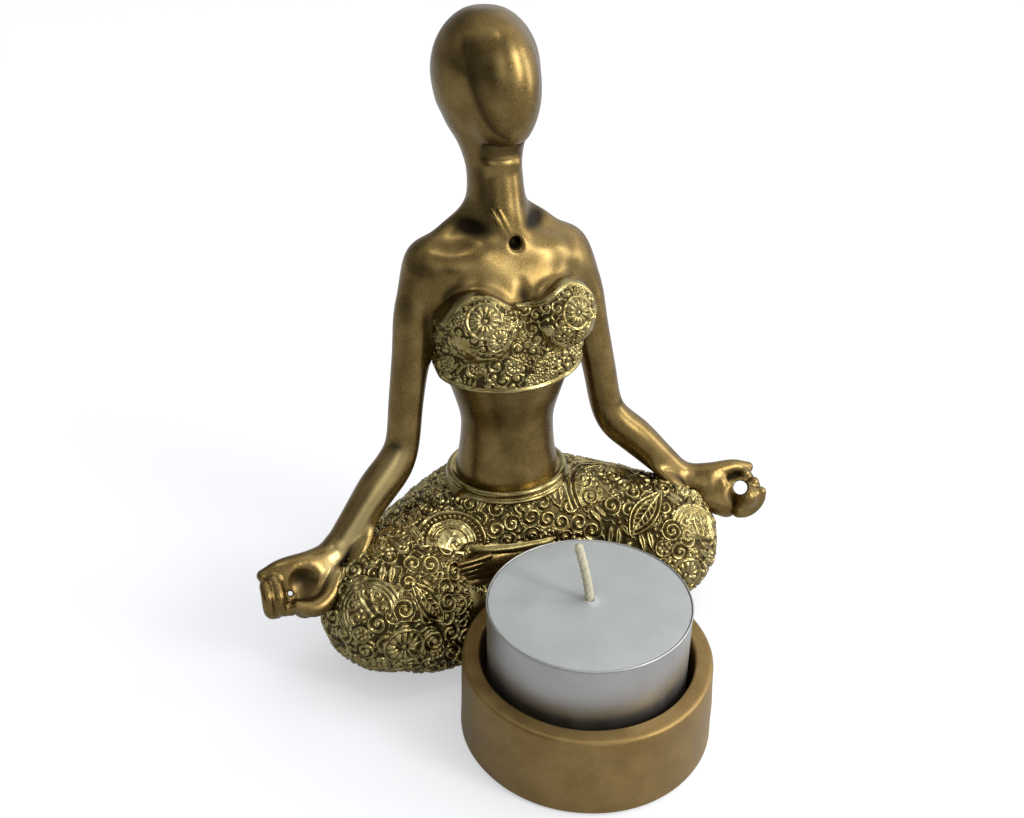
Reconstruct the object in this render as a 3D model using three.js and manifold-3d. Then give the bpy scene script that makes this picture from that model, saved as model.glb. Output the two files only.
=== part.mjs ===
// Yoga candle holder: a cast figure seated with crossed legs behind a round cup that holds a tall tealight.
// Millimetres, +Z up. The origin is the centre of the cup's foot, and the figure faces -Y.
import * as THREE from "three";
import { mergeVertices } from "three/addons/utils/BufferGeometryUtils.js";
import Module from "manifold-3d";

const wasm = await Module();
wasm.setup();

// Clearance between pieces that seat on or pass through each other
const SEAT_GAP = 0.3;

// Tealight
const CANDLE_DIAMETER = 38;
const CANDLE_HEIGHT = 24;
const SHELL_WALL = 0.4;
const SHELL_BEAD = 0.7;
const BEAD_START_TURN = -30;
const BEAD_END_TURN = 150;
const SHELL_CORNER = 1.6;
const WAX_BELOW_RIM = 0.35;
const SUSTAINER_DIAMETER = 13;
const SUSTAINER_SHEET = 0.4;
const COLLAR_HEIGHT = 3;
const COLLAR_WALL = 0.5;
const WICK_DIAMETER = 1.7;
const WICK_ABOVE_WAX = 11.5;
const WICK_LEAN_BACK = 2.6;
const WICK_LEAN_SIDE = 1.4;

// Candle cup
const BORE_DIAMETER = 40;
const CUP_WALL = 3.3;
const CUP_FOOT_FLARE = 0.5;
const CUP_FLOOR = 4;
const CUP_HEIGHT = 16.6;
const CUP_EDGE_ROUND = 0.7;

// Trunk: heights above the ground, setbacks behind the candle's axis
const FIGURE_SETBACK = 41.5;
const BAND_HEIGHT = 33;
const WAIST_RISE = 12.5;
const RIBS_RISE = 12.5;
const BUST_RISE = 12;
const SHOULDER_RISE = 12.5;
const NECK_RISE = 10;
const HEAD_RISE = 18.5;
const STUB_DEPTH = 4;
const BAND_WIDTH = 22.6;
const WAIST_WIDTH = 19.6;
const RIBS_WIDTH = 27;
const SHOULDER_WIDTH = 33;
const NECK_WIDTH = 9.6;
const HEAD_WIDTH = 19.4;
const HEAD_DEPTH = 22;
const HEAD_HEIGHT = 25;
const FACE_WIDTH = 15.4;
const FACE_HEIGHT = 23;
const BREAST_RADIUS = 6.7;
const BREAST_SPREAD = 7.8;

// Arms and hands
const SHOULDER_SPREAD = 14.9;
const ELBOW_SPREAD = 22.3;
const ELBOW_HEIGHT = 43.3;
const WRIST_SPREAD = 38.3;
const WRIST_HEIGHT = 25.2;
const WRIST_SETBACK = 35.5;
const UPPER_ARM_RADIUS = 3.75;
const FOREARM_RADIUS = 4;
const WRIST_RADIUS = 3.1;
const FINGER_PITCH = 2.3;
const FINGER_RING_RADIUS = 3.7;
const PALM_THICKNESS = 1.9;
const PALM_TURN = -95;

// Legs and feet
const HIP_SPREAD = 7.8;
const HIP_HEIGHT = 18;
const HIP_RADIUS = 13.6;
const LAP_SPREAD = 14;
const LAP_RADIUS = 10.8;
const BAND_THICKNESS = 1;
const KNEE_SPREAD = 30.2;
const KNEE_SETBACK = 30.2;
const KNEE_HEIGHT = 14.2;
const KNEE_RADIUS = 13.6;
const ANKLE_RADIUS = 6;
const HEM_HEIGHT = 22.3;
const HEM_SAG = 3.8;
const PIPING_RADIUS = 0.65;
const RIB_RADIUS = 0.6;
const FOOT_LENGTH = 20;
const FOOT_WIDTH = 8.6;
const FOOT_THICKNESS = 4.6;
const LEFT_FOOT_HEIGHT = 18.6;
const RIGHT_FOOT_HEIGHT = 7.5;

// Bodice
const BODICE_THICKNESS = 1.1;
const NECKLINE_RISE = 5;
const NECKLINE_DIP = 2.9;
const NECKLINE_FALL = 3.4;
const NECKLINE_TILT = 0.12;
const HEM_TILT = 0.24;
const BORDER_WIDTH = 1.1;
const BORDER_RAISE = 0.45;

// Heights that follow from the rises
const WAIST_HEIGHT = BAND_HEIGHT + WAIST_RISE;
const RIBS_HEIGHT = WAIST_HEIGHT + RIBS_RISE;
const BUST_HEIGHT = RIBS_HEIGHT + BUST_RISE;
const SHOULDER_HEIGHT = BUST_HEIGHT + SHOULDER_RISE;
const NECK_HEIGHT = SHOULDER_HEIGHT + NECK_RISE;
const HEM_BASE = RIBS_HEIGHT + 1;
const HEAD_CENTRE = NECK_HEIGHT + HEAD_RISE;
const LAP_SETBACK = FIGURE_SETBACK - 3.6;
const LAP_HEIGHT = HIP_HEIGHT + 2.4;
const SHELL_RADIUS = CANDLE_DIAMETER / 2;
const CUP_RADIUS = BORE_DIAMETER / 2 + CUP_WALL;
const CUP_FOOT_RADIUS = CUP_RADIUS + CUP_FOOT_FLARE;

const ROUND_SIDES = 36;
const point = (x, y, z) => new THREE.Vector3(x, y, z);

// A closed mesh as a solid for joining and cutting
function solidOf(geometry) {
  const bare = geometry.clone();
  bare.deleteAttribute("normal");
  bare.deleteAttribute("uv");
  const merged = mergeVertices(bare, 1e-4);
  const mesh = new wasm.Mesh({
    numProp: 3,
    vertProperties: merged.attributes.position.array,
    triVerts: new Uint32Array(merged.index.array),
  });
  return new wasm.Manifold(mesh);
}

function geometryOf(solid) {
  const mesh = solid.getMesh();
  const geometry = new THREE.BufferGeometry();
  geometry.setAttribute("position", new THREE.BufferAttribute(mesh.vertProperties, 3));
  geometry.setIndex(new THREE.BufferAttribute(mesh.triVerts, 1));
  geometry.computeVertexNormals();
  return geometry;
}

const joined = (solids) => solids.reduce((sum, solid) => sum.add(solid));

// Closes a stack of rings with one point at each end
function closedLoft(rings, firstPoint, lastPoint) {
  const sides = rings[0].length;
  const positions = [...rings.flat(), firstPoint, lastPoint].flatMap((p) => [p.x, p.y, p.z]);
  const first = rings.length * sides;
  const last = first + 1;
  const faces = [];
  for (let i = 0; i < sides; i += 1) {
    const next = (i + 1) % sides;
    for (let ring = 0; ring + 1 < rings.length; ring += 1) {
      const low = ring * sides;
      const high = low + sides;
      faces.push(low + i, low + next, high + next, low + i, high + next, high + i);
    }
    const top = (rings.length - 1) * sides;
    faces.push(first, next, i, last, top + i, top + next);
  }
  const geometry = new THREE.BufferGeometry();
  geometry.setAttribute("position", new THREE.Float32BufferAttribute(positions, 3));
  geometry.setIndex(faces);
  return geometry;
}

// Smooth value of one size of the stations at a share of the way along
function along(stations, size, share) {
  const curve = new THREE.CatmullRomCurve3(stations.map((s, i) => point(i, s[size], 0)));
  return curve.getPoint(share).y;
}

// A limb or trunk lofted through stations. Each station has its centre, the half width across, and the half
// depths in front of and behind the centre. The ends are domed, and every surface is moved out by grow.
function lofted(stations, { sides = 14, steps = 3, grow = 0, back = point(0, 1, 0), domes = 3 } = {}) {
  const path = new THREE.CatmullRomCurve3(stations.map((s) => s.at));
  const count = (stations.length - 1) * steps;
  const ringAt = (share, shrink, shift) => {
    const tangent = path.getTangent(share);
    const rear = back.clone().addScaledVector(tangent, -back.dot(tangent)).normalize();
    const across = rear.clone().cross(tangent);
    const centre = path.getPoint(share).addScaledVector(tangent, shift);
    const wide = (along(stations, "wide", share) + grow) * shrink;
    const front = (along(stations, "front", share) + grow) * shrink;
    const rearward = (along(stations, "rear", share) + grow) * shrink;
    return Array.from({ length: sides }, (_, i) => {
      const angle = (2 * Math.PI * i) / sides;
      const deep = Math.sin(angle) * (Math.sin(angle) < 0 ? front : rearward);
      return centre.clone().addScaledVector(across, Math.cos(angle) * wide).addScaledVector(rear, deep);
    });
  };
  const endLength = (station) => Math.min(station.wide, (station.front + station.rear) / 2) + grow;
  const startDome = endLength(stations[0]);
  const endDome = endLength(stations[stations.length - 1]);
  const rings = [];
  for (let i = domes - 1; i > 0; i -= 1) {
    const angle = (i / domes) * (Math.PI / 2);
    rings.push(ringAt(0, Math.cos(angle), -Math.sin(angle) * startDome));
  }
  for (let i = 0; i <= count; i += 1) {
    rings.push(ringAt(i / count, 1, 0));
  }
  for (let i = 1; i < domes; i += 1) {
    const angle = (i / domes) * (Math.PI / 2);
    rings.push(ringAt(1, Math.cos(angle), Math.sin(angle) * endDome));
  }
  const start = path.getPoint(0).addScaledVector(path.getTangent(0), -startDome);
  const end = path.getPoint(1).addScaledVector(path.getTangent(1), endDome);
  return solidOf(closedLoft(rings, start, end));
}

// Stations of a limb with a round or an oval section
const round = (at, radius) => ({ at, wide: radius, front: radius, rear: radius });
const oval = (at, wide, deep) => ({ at, wide, front: deep, rear: deep });

function ellipsoid(centre, radii, { grow = 0, tilt = 0, sides = 20 } = {}) {
  const geometry = new THREE.SphereGeometry(1, sides, Math.round(sides * 0.6));
  geometry.scale(radii.x + grow, radii.y + grow, radii.z + grow);
  geometry.rotateX(tilt);
  geometry.translate(centre.x, centre.y, centre.z);
  return solidOf(geometry);
}

// Profile points of a turned piece, each as radius and height
function turned(profile, sides = ROUND_SIDES) {
  const points = profile.flat().map(([radius, height]) => new THREE.Vector2(radius, height));
  return solidOf(new THREE.LatheGeometry(points, sides).rotateX(Math.PI / 2));
}

// Arc of a turned profile round a centre, from one angle to another in degrees
function arcPoints(radius, centreRadius, centreHeight, from, to, steps = 2) {
  return Array.from({ length: steps + 1 }, (_, i) => {
    const angle = THREE.MathUtils.degToRad(from + ((to - from) * i) / steps);
    return [centreRadius + radius * Math.cos(angle), centreHeight + radius * Math.sin(angle)];
  });
}

// Everything above the ground within reach of the figure
function aboveGround() {
  const reach = 400;
  const geometry = new THREE.BoxGeometry(reach, reach, reach);
  geometry.translate(0, 0, reach / 2);
  return solidOf(geometry);
}

// Neck, chest and waist as one loft that ends in a stub inside the trousers
function trunk(grow) {
  const station = (height, lean, wide, front, rear) => ({
    at: point(0, FIGURE_SETBACK + lean, height),
    wide,
    front,
    rear,
  });
  const band = BAND_WIDTH / 2;
  const waist = WAIST_WIDTH / 2;
  const ribs = RIBS_WIDTH / 2;
  const neck = NECK_WIDTH / 2;
  const stations = [
    station(BAND_HEIGHT - STUB_DEPTH, 0, band - 1.5, band - 2.6, band - 2.6),
    station(BAND_HEIGHT, 0, band, band - 1, band - 1.2),
    station(WAIST_HEIGHT, -0.6, waist, waist - 1.9, waist - 1.6),
    station(RIBS_HEIGHT, -1.6, ribs, ribs - 5, ribs - 5),
    station(BUST_HEIGHT, 0, ribs + 0.8, ribs - 4.6, ribs - 5),
    station(SHOULDER_HEIGHT - 1.4, 3.1, SHOULDER_WIDTH / 2, 6.2, 6.6),
    station(SHOULDER_HEIGHT + NECK_RISE * 0.42, 4.9, neck + 3.4, 5.2, 5.6),
    station(NECK_HEIGHT, 6.3, neck, neck - 0.2, neck),
    station(NECK_HEIGHT + HEAD_RISE * 0.5, 7.6, neck, neck, neck),
  ];
  return lofted(stations, { sides: 20, steps: 2, grow });
}

function breasts(grow) {
  const radii = point(BREAST_RADIUS + 0.2, BREAST_RADIUS + 0.8, BREAST_RADIUS);
  const setback = FIGURE_SETBACK - BREAST_RADIUS * 0.84;
  const made = [-1, 1].map((side) =>
    ellipsoid(point(side * BREAST_SPREAD, setback, BUST_HEIGHT - 0.3), radii, { grow, sides: 12 }),
  );
  return joined(made);
}

// Egg-shaped skull with the smooth oval of the face standing proud of it, and the jaw drawn in to the neck
function head() {
  const setback = FIGURE_SETBACK + 8.4;
  const skull = ellipsoid(
    point(0, setback, HEAD_CENTRE),
    point(HEAD_WIDTH / 2, HEAD_DEPTH / 2, HEAD_HEIGHT / 2),
    { tilt: -0.12, sides: 20 },
  );
  const face = ellipsoid(
    point(0, setback - HEAD_DEPTH * 0.19, HEAD_CENTRE - 1.2),
    point(FACE_WIDTH / 2, HEAD_DEPTH * 0.38, FACE_HEIGHT / 2),
    { tilt: 0.06, sides: 18 },
  );
  const jaw = lofted(
    [
      oval(point(0, setback + 0.4, HEAD_CENTRE - HEAD_HEIGHT * 0.26), HEAD_WIDTH * 0.42, HEAD_DEPTH * 0.33),
      oval(point(0, setback, HEAD_CENTRE - HEAD_HEIGHT * 0.48), NECK_WIDTH * 0.56, NECK_WIDTH * 0.6),
    ],
    { sides: 16, steps: 2, domes: 2 },
  );
  return joined([skull, face, jaw]);
}

function arm(side, grow) {
  const shoulder = point(side * SHOULDER_SPREAD, FIGURE_SETBACK + 4, SHOULDER_HEIGHT - 4);
  const elbow = point(side * ELBOW_SPREAD, FIGURE_SETBACK - 0.6, ELBOW_HEIGHT);
  const wrist = point(side * WRIST_SPREAD, WRIST_SETBACK, WRIST_HEIGHT);
  const between = (from, to, share, out, lift) =>
    from.clone().lerp(to, share).add(point(side * out, 0, lift));
  const stations = [
    round(shoulder.clone().add(point(0, 0, -1.4)), UPPER_ARM_RADIUS + 0.7),
    round(between(shoulder, elbow, 0.48, 0.5, 0), UPPER_ARM_RADIUS),
    round(elbow, UPPER_ARM_RADIUS - 0.35),
    round(between(elbow, wrist, 0.36, 0.3, -1), FOREARM_RADIUS),
    round(wrist, WRIST_RADIUS),
  ];
  const deltoid = ellipsoid(
    shoulder.clone().add(point(-side * 0.9, 0, -0.6)),
    point(UPPER_ARM_RADIUS + 1.2, UPPER_ARM_RADIUS + 1.5, UPPER_ARM_RADIUS + 1.6),
    { grow, sides: 12 },
  );
  return lofted(stations, { sides: 12, steps: 2, grow }).add(deltoid);
}

// Palm up, four fingers curled in an arc and the thumb laid over them, which leaves the round finger ring
function hand(side, grow) {
  const ring = point(side * (WRIST_SPREAD + 11.2), WRIST_SETBACK - 6.6, WRIST_HEIGHT - 2.4);
  const arc = (turn, deep) => {
    const angle = THREE.MathUtils.degToRad(turn);
    const out = Math.cos(angle) * FINGER_RING_RADIUS;
    return point(ring.x + side * out, ring.y + deep, ring.z + Math.sin(angle) * FINGER_RING_RADIUS);
  };
  const palm = lofted(
    [
      oval(point(side * WRIST_SPREAD, WRIST_SETBACK, WRIST_HEIGHT), WRIST_RADIUS, WRIST_RADIUS),
      oval(point(side * (WRIST_SPREAD + 4.6), WRIST_SETBACK - 2.6, WRIST_HEIGHT - 3), 4.6, 2.4),
      oval(arc(PALM_TURN, 0.3), FINGER_PITCH * 2, PALM_THICKNESS),
    ],
    { sides: 10, steps: 2, grow, back: point(0, -0.5, 0.86), domes: 2 },
  );
  const fingers = [0, 1, 2, 3].map((index) => {
    const deep = (1.5 - index) * FINGER_PITCH;
    const reach = 70 - index * 22;
    const turns = [-100, -100 + (reach + 100) * 0.33, -100 + (reach + 100) * 0.67, reach];
    const stations = turns.map((turn, step) => ({
      at: arc(turn, deep),
      wide: FINGER_PITCH * 0.54,
      front: 1.7 - step * 0.14,
      rear: 1.7 - step * 0.14,
    }));
    return lofted(stations, { sides: 6, steps: 2, grow, back: point(side, 0, 0.01), domes: 2 });
  });
  const top = ring.z + FINGER_RING_RADIUS;
  const thumb = lofted(
    [
      round(point(side * (WRIST_SPREAD + 2), WRIST_SETBACK - 0.8, WRIST_HEIGHT - 0.6), 2.6),
      round(point(side * (WRIST_SPREAD + 6.4), ring.y + 4, top - 0.6), 2.2),
      round(point(ring.x + side * 0.6, ring.y + 3.6, top + 0.2), 1.6),
      round(point(ring.x + side * 4, ring.y + 3, top - 0.6), 1.2),
    ],
    { sides: 8, steps: 2, grow, domes: 2 },
  );
  const thenar = ellipsoid(
    point(side * (WRIST_SPREAD + 4.8), ring.y + 3, ring.z + 1),
    point(4.6, 2.3, FINGER_RING_RADIUS + 0.9),
    { grow, sides: 10 },
  );
  return joined([palm, ...fingers, thumb, thenar]);
}

const limbs = (grow) => joined([-1, 1].flatMap((side) => [arm(side, grow), hand(side, grow)]));

function figureBody() {
  return joined([trunk(0), breasts(0), head(), limbs(0)]);
}

// Region between the hem and the neckline of the bodice, both moved in by inset. The neckline dips between
// the breasts and falls towards the back, and the hem rises towards the back.
function bodiceRegion(inset) {
  const reach = RIBS_WIDTH;
  const peak = BREAST_SPREAD * 1.25;
  const outside = BREAST_SPREAD * 2;
  const neckline = [
    [reach, -NECKLINE_DIP - NECKLINE_FALL],
    [outside, -NECKLINE_DIP - NECKLINE_FALL * 0.4],
    [peak, 0],
    [BREAST_SPREAD * 0.5, -NECKLINE_DIP * 0.4],
    [0, -NECKLINE_DIP],
  ];
  const mirrored = neckline.slice(0, -1).reverse().map(([x, z]) => [-x, z]);
  const curve = new THREE.SplineCurve([...neckline, ...mirrored].map(([x, z]) => new THREE.Vector2(x, z)));
  const extruded = (points, base, tilt, from, to) => {
    const shape = new THREE.Shape(points);
    const geometry = new THREE.ExtrudeGeometry(shape, { depth: to - from, bevelEnabled: false });
    geometry.rotateX(Math.PI / 2);
    geometry.translate(0, to, 0);
    geometry.rotateX(tilt);
    geometry.translate(0, FIGURE_SETBACK, base);
    return solidOf(geometry);
  };
  const edge = (height) => [new THREE.Vector2(-reach, height), new THREE.Vector2(reach, height)];
  const sideHeight = -NECKLINE_DIP - NECKLINE_FALL * 0.6;
  const top = BUST_HEIGHT + NECKLINE_RISE - inset;
  const front = extruded([...edge(-reach), ...curve.getPoints(16)], top, -NECKLINE_TILT, -reach, 0);
  const rear = extruded([...edge(-reach), ...edge(sideHeight).reverse()], top, -NECKLINE_TILT, -0.5, reach);
  const aboveHem = extruded([...edge(0), ...edge(reach * 2).reverse()], HEM_BASE + inset, HEM_TILT, -reach, reach);
  return front.add(rear).intersect(aboveHem);
}

// Embossed strapless bodice: a shell round the chest with a raised border along its neckline and hem
function bodice() {
  const chest = (grow) => trunk(grow).add(breasts(grow));
  const outer = SEAT_GAP + BODICE_THICKNESS;
  const cloth = chest(outer).intersect(bodiceRegion(0));
  const border = chest(outer + BORDER_RAISE).intersect(bodiceRegion(0)).subtract(bodiceRegion(BORDER_WIDTH));
  const arms = arm(-1, SEAT_GAP).add(arm(1, SEAT_GAP));
  return cloth.add(border).subtract(chest(SEAT_GAP)).subtract(arms);
}

// The stations of one leg: its thigh from hip to knee, and its shin from knee to the middle of the body
function legStations(side) {
  const hip = point(side * HIP_SPREAD, FIGURE_SETBACK + 3.9, HIP_HEIGHT);
  const knee = point(side * KNEE_SPREAD, KNEE_SETBACK, KNEE_HEIGHT);
  const thigh = [
    round(hip, HIP_RADIUS),
    round(hip.clone().lerp(knee, 0.5), (HIP_RADIUS + KNEE_RADIUS) / 2),
    round(knee, KNEE_RADIUS),
  ];
  const shin = [
    round(knee.clone().add(point(-side * 0.6, -0.6, -1)), KNEE_RADIUS * 0.9),
    round(point(side * KNEE_SPREAD * 0.64, KNEE_SETBACK - 2.6, KNEE_HEIGHT * 0.68), KNEE_RADIUS * 0.84),
    round(point(side * KNEE_SPREAD * 0.34, KNEE_SETBACK + 1.4, ANKLE_RADIUS * 1.2), ANKLE_RADIUS * 1.2),
    round(point(0, KNEE_SETBACK + 4, ANKLE_RADIUS * 1.2), ANKLE_RADIUS),
  ];
  return { thigh, shin };
}

function leg(side) {
  const { thigh, shin } = legStations(side);
  return lofted(thigh, { sides: 16, steps: 2 }).add(lofted(shin, { sides: 16, steps: 2 }));
}

const lapStation = (side) => round(point(side * LAP_SPREAD, LAP_SETBACK, LAP_HEIGHT), LAP_RADIUS);

// A raised rib of the embossing: an arch or a ring that follows the skin of the limb between two stations. The
// place of its middle is a share of the way along the limb and a turn from straight up towards the front.
function rib(from, to, side, [share, turn, radius, sweep]) {
  const axis = to.at.clone().sub(from.at);
  const length = axis.length();
  axis.normalize();
  const up = point(0, 0, 1).addScaledVector(axis, -axis.z).normalize();
  const forward = axis.clone().cross(up).multiplyScalar(side);
  const skin = THREE.MathUtils.lerp(from.wide, to.wide, share);
  const count = Math.round(sweep / 36);
  const stations = Array.from({ length: count + 1 }, (_, i) => {
    const angle = THREE.MathUtils.degToRad((i * sweep) / count);
    const place = share + (Math.cos(angle) * radius) / length;
    const lean = THREE.MathUtils.degToRad(turn) - (Math.sin(angle) * radius) / skin;
    const at = from.at.clone().lerp(to.at, place);
    return round(at.addScaledVector(up, Math.cos(lean) * skin).addScaledVector(forward, Math.sin(lean) * skin), RIB_RADIUS);
  });
  return lofted(stations, { sides: 5, steps: 1, domes: 1 });
}

// Main ribs of the embossed pattern on one leg: arches on the lap and the thigh, rings on the knee and the shin
function ribs(side) {
  const { thigh, shin } = legStations(side);
  const [hip, , knee] = thigh;
  const onLap = [[0.72, 50, 5.6, 180], [0.72, 50, 3.6, 180]];
  const onThigh = [[0.66, 2, 6.8, 180], [0.66, 2, 4.6, 180], [0.42, -52, 5.6, 180], [0.92, -58, 4.6, 180], [0.5, -92, 4.6, 180]];
  const onShin = [[0.1, 62, 4.4, 360], [0.8, 50, 3.2, 360]];
  return joined([
    ...onLap.map((place) => rib(lapStation(0), lapStation(side), side, place)),
    ...onThigh.map((place) => rib(hip, knee, side, place)),
    ...onShin.map((place) => rib(shin[0], shin[1], side, place)),
  ]);
}

// Space under the hem where the feet are tucked in
function footRecess() {
  const wide = LAP_SPREAD * 2.2;
  const deep = KNEE_SETBACK * 2;
  const geometry = new THREE.BoxGeometry(wide, deep, HEM_HEIGHT * 2);
  geometry.translate(0, KNEE_SETBACK - deep / 2, 0);
  return solidOf(geometry);
}

// Hips that rise and narrow to the waistband, and the lap that closes them in front
function hips() {
  const station = (height, wide, front, rear) => ({ at: point(0, FIGURE_SETBACK, height), wide, front, rear });
  const band = BAND_WIDTH / 2 + SEAT_GAP + BAND_THICKNESS;
  const seat = band + 7;
  const pelvis = lofted(
    [
      station(0, seat - 2.4, band - 2.6, HIP_RADIUS + 1),
      station(HIP_HEIGHT * 0.35, seat, band - 1.3, HIP_RADIUS + 3.2),
      station(HIP_HEIGHT, seat, band - 1.3, HIP_RADIUS + 3.8),
      station(BAND_HEIGHT - 6.5, band + 3.8, band + 0.6, band + 2.4),
      station(BAND_HEIGHT - 1, band, band - 0.9, band - 0.9),
      station(BAND_HEIGHT + 3, band - 0.8, band - 1.8, band - 1.8),
    ],
    { sides: 20, steps: 2, domes: 2 },
  );
  const lap = lofted([-1, 0, 1].map(lapStation), { sides: 16, steps: 2 });
  return pelvis.add(lap).subtract(footRecess());
}

// A closed rolled edge round the waist at one height
function waistRoll(height) {
  const wide = BAND_WIDTH / 2 + SEAT_GAP + BAND_THICKNESS;
  const ring = new THREE.TorusGeometry(1, 0.5, 6, 24);
  const place = ring.attributes.position;
  for (let i = 0; i < place.count; i += 1) {
    const flat = point(place.getX(i), place.getY(i), 0);
    const middle = flat.clone().normalize();
    const out = (flat.length() - 1) * 2 * PIPING_RADIUS;
    const x = middle.x * (wide + out);
    const y = middle.y * (wide - 0.9 + out);
    place.setXYZ(i, x, y + FIGURE_SETBACK, place.getZ(i) * 2 * PIPING_RADIUS + height);
  }
  return solidOf(ring);
}

// Rolled ankle hem that crosses the lap from leg to leg, lowest in the middle
function ankleHem() {
  const forward = Math.sqrt(LAP_RADIUS ** 2 - (HEM_HEIGHT - LAP_HEIGHT) ** 2);
  const at = (share) => {
    const rise = HEM_SAG * share ** 2;
    return point(share * LAP_SPREAD * 1.25, LAP_SETBACK - forward + rise * 0.3, HEM_HEIGHT + rise);
  };
  const shares = [-1, -0.6, 0, 0.6, 1];
  return lofted(shares.map((share) => round(at(share), PIPING_RADIUS + 0.1)), { sides: 6, steps: 2, domes: 2 });
}

function foot(side, height, grow) {
  const setback = KNEE_SETBACK - 3.4;
  const ankle = point(-side * FOOT_LENGTH * 0.2, setback + 0.6, height);
  const ball = point(side * FOOT_LENGTH * 0.56, setback, height);
  const half = FOOT_WIDTH / 2;
  const sole = lofted(
    [
      oval(ankle, half * 0.72, FOOT_THICKNESS * 0.55),
      oval(ankle.clone().lerp(ball, 0.5), half * 0.8, FOOT_THICKNESS * 0.5),
      oval(ball, half * 0.94, FOOT_THICKNESS * 0.42),
    ],
    { sides: 12, steps: 2, grow, domes: 2 },
  );
  const pitch = (FOOT_WIDTH - 1.6) / 4;
  const toes = [0, 1, 2, 3, 4].map((index) => {
    const lift = half - 1.1 - index * pitch;
    const reach = FOOT_LENGTH * (0.8 - index * 0.02);
    const radius = index === 0 ? 1.15 : 0.92 - index * 0.04;
    return lofted(
      [
        round(point(ball.x + side * 0.5, setback - 0.4, height + lift), radius),
        round(point(side * reach, setback - 0.9, height + lift), radius),
      ],
      { sides: 6, steps: 1, grow, domes: 2 },
    );
  });
  return joined([sole, ...toes]);
}

const leftFoot = (grow) => foot(-1, LEFT_FOOT_HEIGHT, grow);
const rightFoot = (grow) => foot(1, RIGHT_FOOT_HEIGHT, grow);

// Outer form of the candle cup, moved out by grow
function cupOutline(grow) {
  return turned([
    [[0, -grow], [CUP_FOOT_RADIUS + grow, -grow], [CUP_RADIUS + grow, CUP_HEIGHT + grow], [0, CUP_HEIGHT + grow]],
  ]);
}

function trousers() {
  const cloth = joined([
    hips(),
    leg(-1),
    leg(1),
    ribs(-1),
    ribs(1),
    ankleHem(),
    waistRoll(BAND_HEIGHT),
    waistRoll(BAND_HEIGHT - PIPING_RADIUS * 2.9),
  ]);
  const above = aboveGround();
  const top = BAND_HEIGHT + PIPING_RADIUS;
  const clear = top + BAND_WIDTH;
  const opening = turned([[[0, top], [BAND_WIDTH, top], [BAND_WIDTH, clear], [0, clear]]]);
  return cloth
    .intersect(above)
    .subtract(opening.translate([0, FIGURE_SETBACK, 0]))
    .subtract(trunk(SEAT_GAP))
    .subtract(limbs(SEAT_GAP))
    .subtract(leftFoot(SEAT_GAP))
    .subtract(rightFoot(SEAT_GAP))
    .subtract(cupOutline(SEAT_GAP));
}

function candleCup() {
  const bore = BORE_DIAMETER / 2;
  const round = CUP_EDGE_ROUND;
  return turned([
    [[0, 0]],
    arcPoints(round, CUP_FOOT_RADIUS - round, round, -90, 0),
    arcPoints(round, CUP_RADIUS - round, CUP_HEIGHT - round, 0, 90),
    arcPoints(round * 0.5, bore + round * 0.5, CUP_HEIGHT - round * 0.5, 90, 180),
    arcPoints(round, bore - round, CUP_FLOOR + round, 0, -90),
    [[0, CUP_FLOOR]],
  ]);
}

const SHELL_FLOOR = CUP_FLOOR + SEAT_GAP;
const SHELL_TOP = SHELL_FLOOR + CANDLE_HEIGHT;
const SHELL_OUTER = SHELL_RADIUS - SHELL_BEAD * 0.5;
const SHELL_INNER = SHELL_OUTER - SHELL_WALL;
const WAX_FLOOR = SHELL_FLOOR + SHELL_WALL + SEAT_GAP;
const WAX_TOP = SHELL_TOP - WAX_BELOW_RIM;
const SUSTAINER_TOP = WAX_FLOOR + SUSTAINER_SHEET;
const COLLAR_BORE = WICK_DIAMETER / 2 + SEAT_GAP;
const COLLAR_OUTER = COLLAR_BORE + COLLAR_WALL;

// Drawn aluminium shell with a rounded bottom corner and a rolled bead at its rim
function tealightShell() {
  const bead = SHELL_BEAD / 2;
  const beadCentre = SHELL_RADIUS - bead;
  const inside = SHELL_CORNER - SHELL_WALL;
  return turned([
    [[0, SHELL_FLOOR]],
    arcPoints(SHELL_CORNER, SHELL_OUTER - SHELL_CORNER, SHELL_FLOOR + SHELL_CORNER, -90, 0),
    [[SHELL_OUTER, SHELL_TOP - SHELL_BEAD]],
    arcPoints(bead, beadCentre, SHELL_TOP - bead, BEAD_START_TURN, BEAD_END_TURN, 4),
    [[SHELL_INNER, SHELL_TOP - SHELL_BEAD]],
    arcPoints(inside, SHELL_INNER - inside, SHELL_FLOOR + SHELL_CORNER, 0, -90),
    [[0, SHELL_FLOOR + SHELL_WALL]],
  ]);
}

// Wax poured round the sustainer and the wick, clear of the shell
function tealightWax() {
  const outer = SHELL_INNER - SEAT_GAP;
  const corner = SHELL_CORNER;
  const tab = SUSTAINER_DIAMETER / 2 + SEAT_GAP;
  const tabTop = SUSTAINER_TOP + SEAT_GAP;
  const collar = COLLAR_OUTER + SEAT_GAP;
  const collarTop = SUSTAINER_TOP + COLLAR_HEIGHT + SEAT_GAP;
  return turned([
    [[tab, WAX_FLOOR]],
    arcPoints(corner, outer - corner, WAX_FLOOR + corner, -90, 0),
    arcPoints(0.4, outer - 0.4, WAX_TOP - 0.4, 0, 90),
    [[COLLAR_BORE, WAX_TOP], [COLLAR_BORE, collarTop], [collar, collarTop], [collar, tabTop], [tab, tabTop]],
    [[tab, WAX_FLOOR]],
  ]);
}

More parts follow.
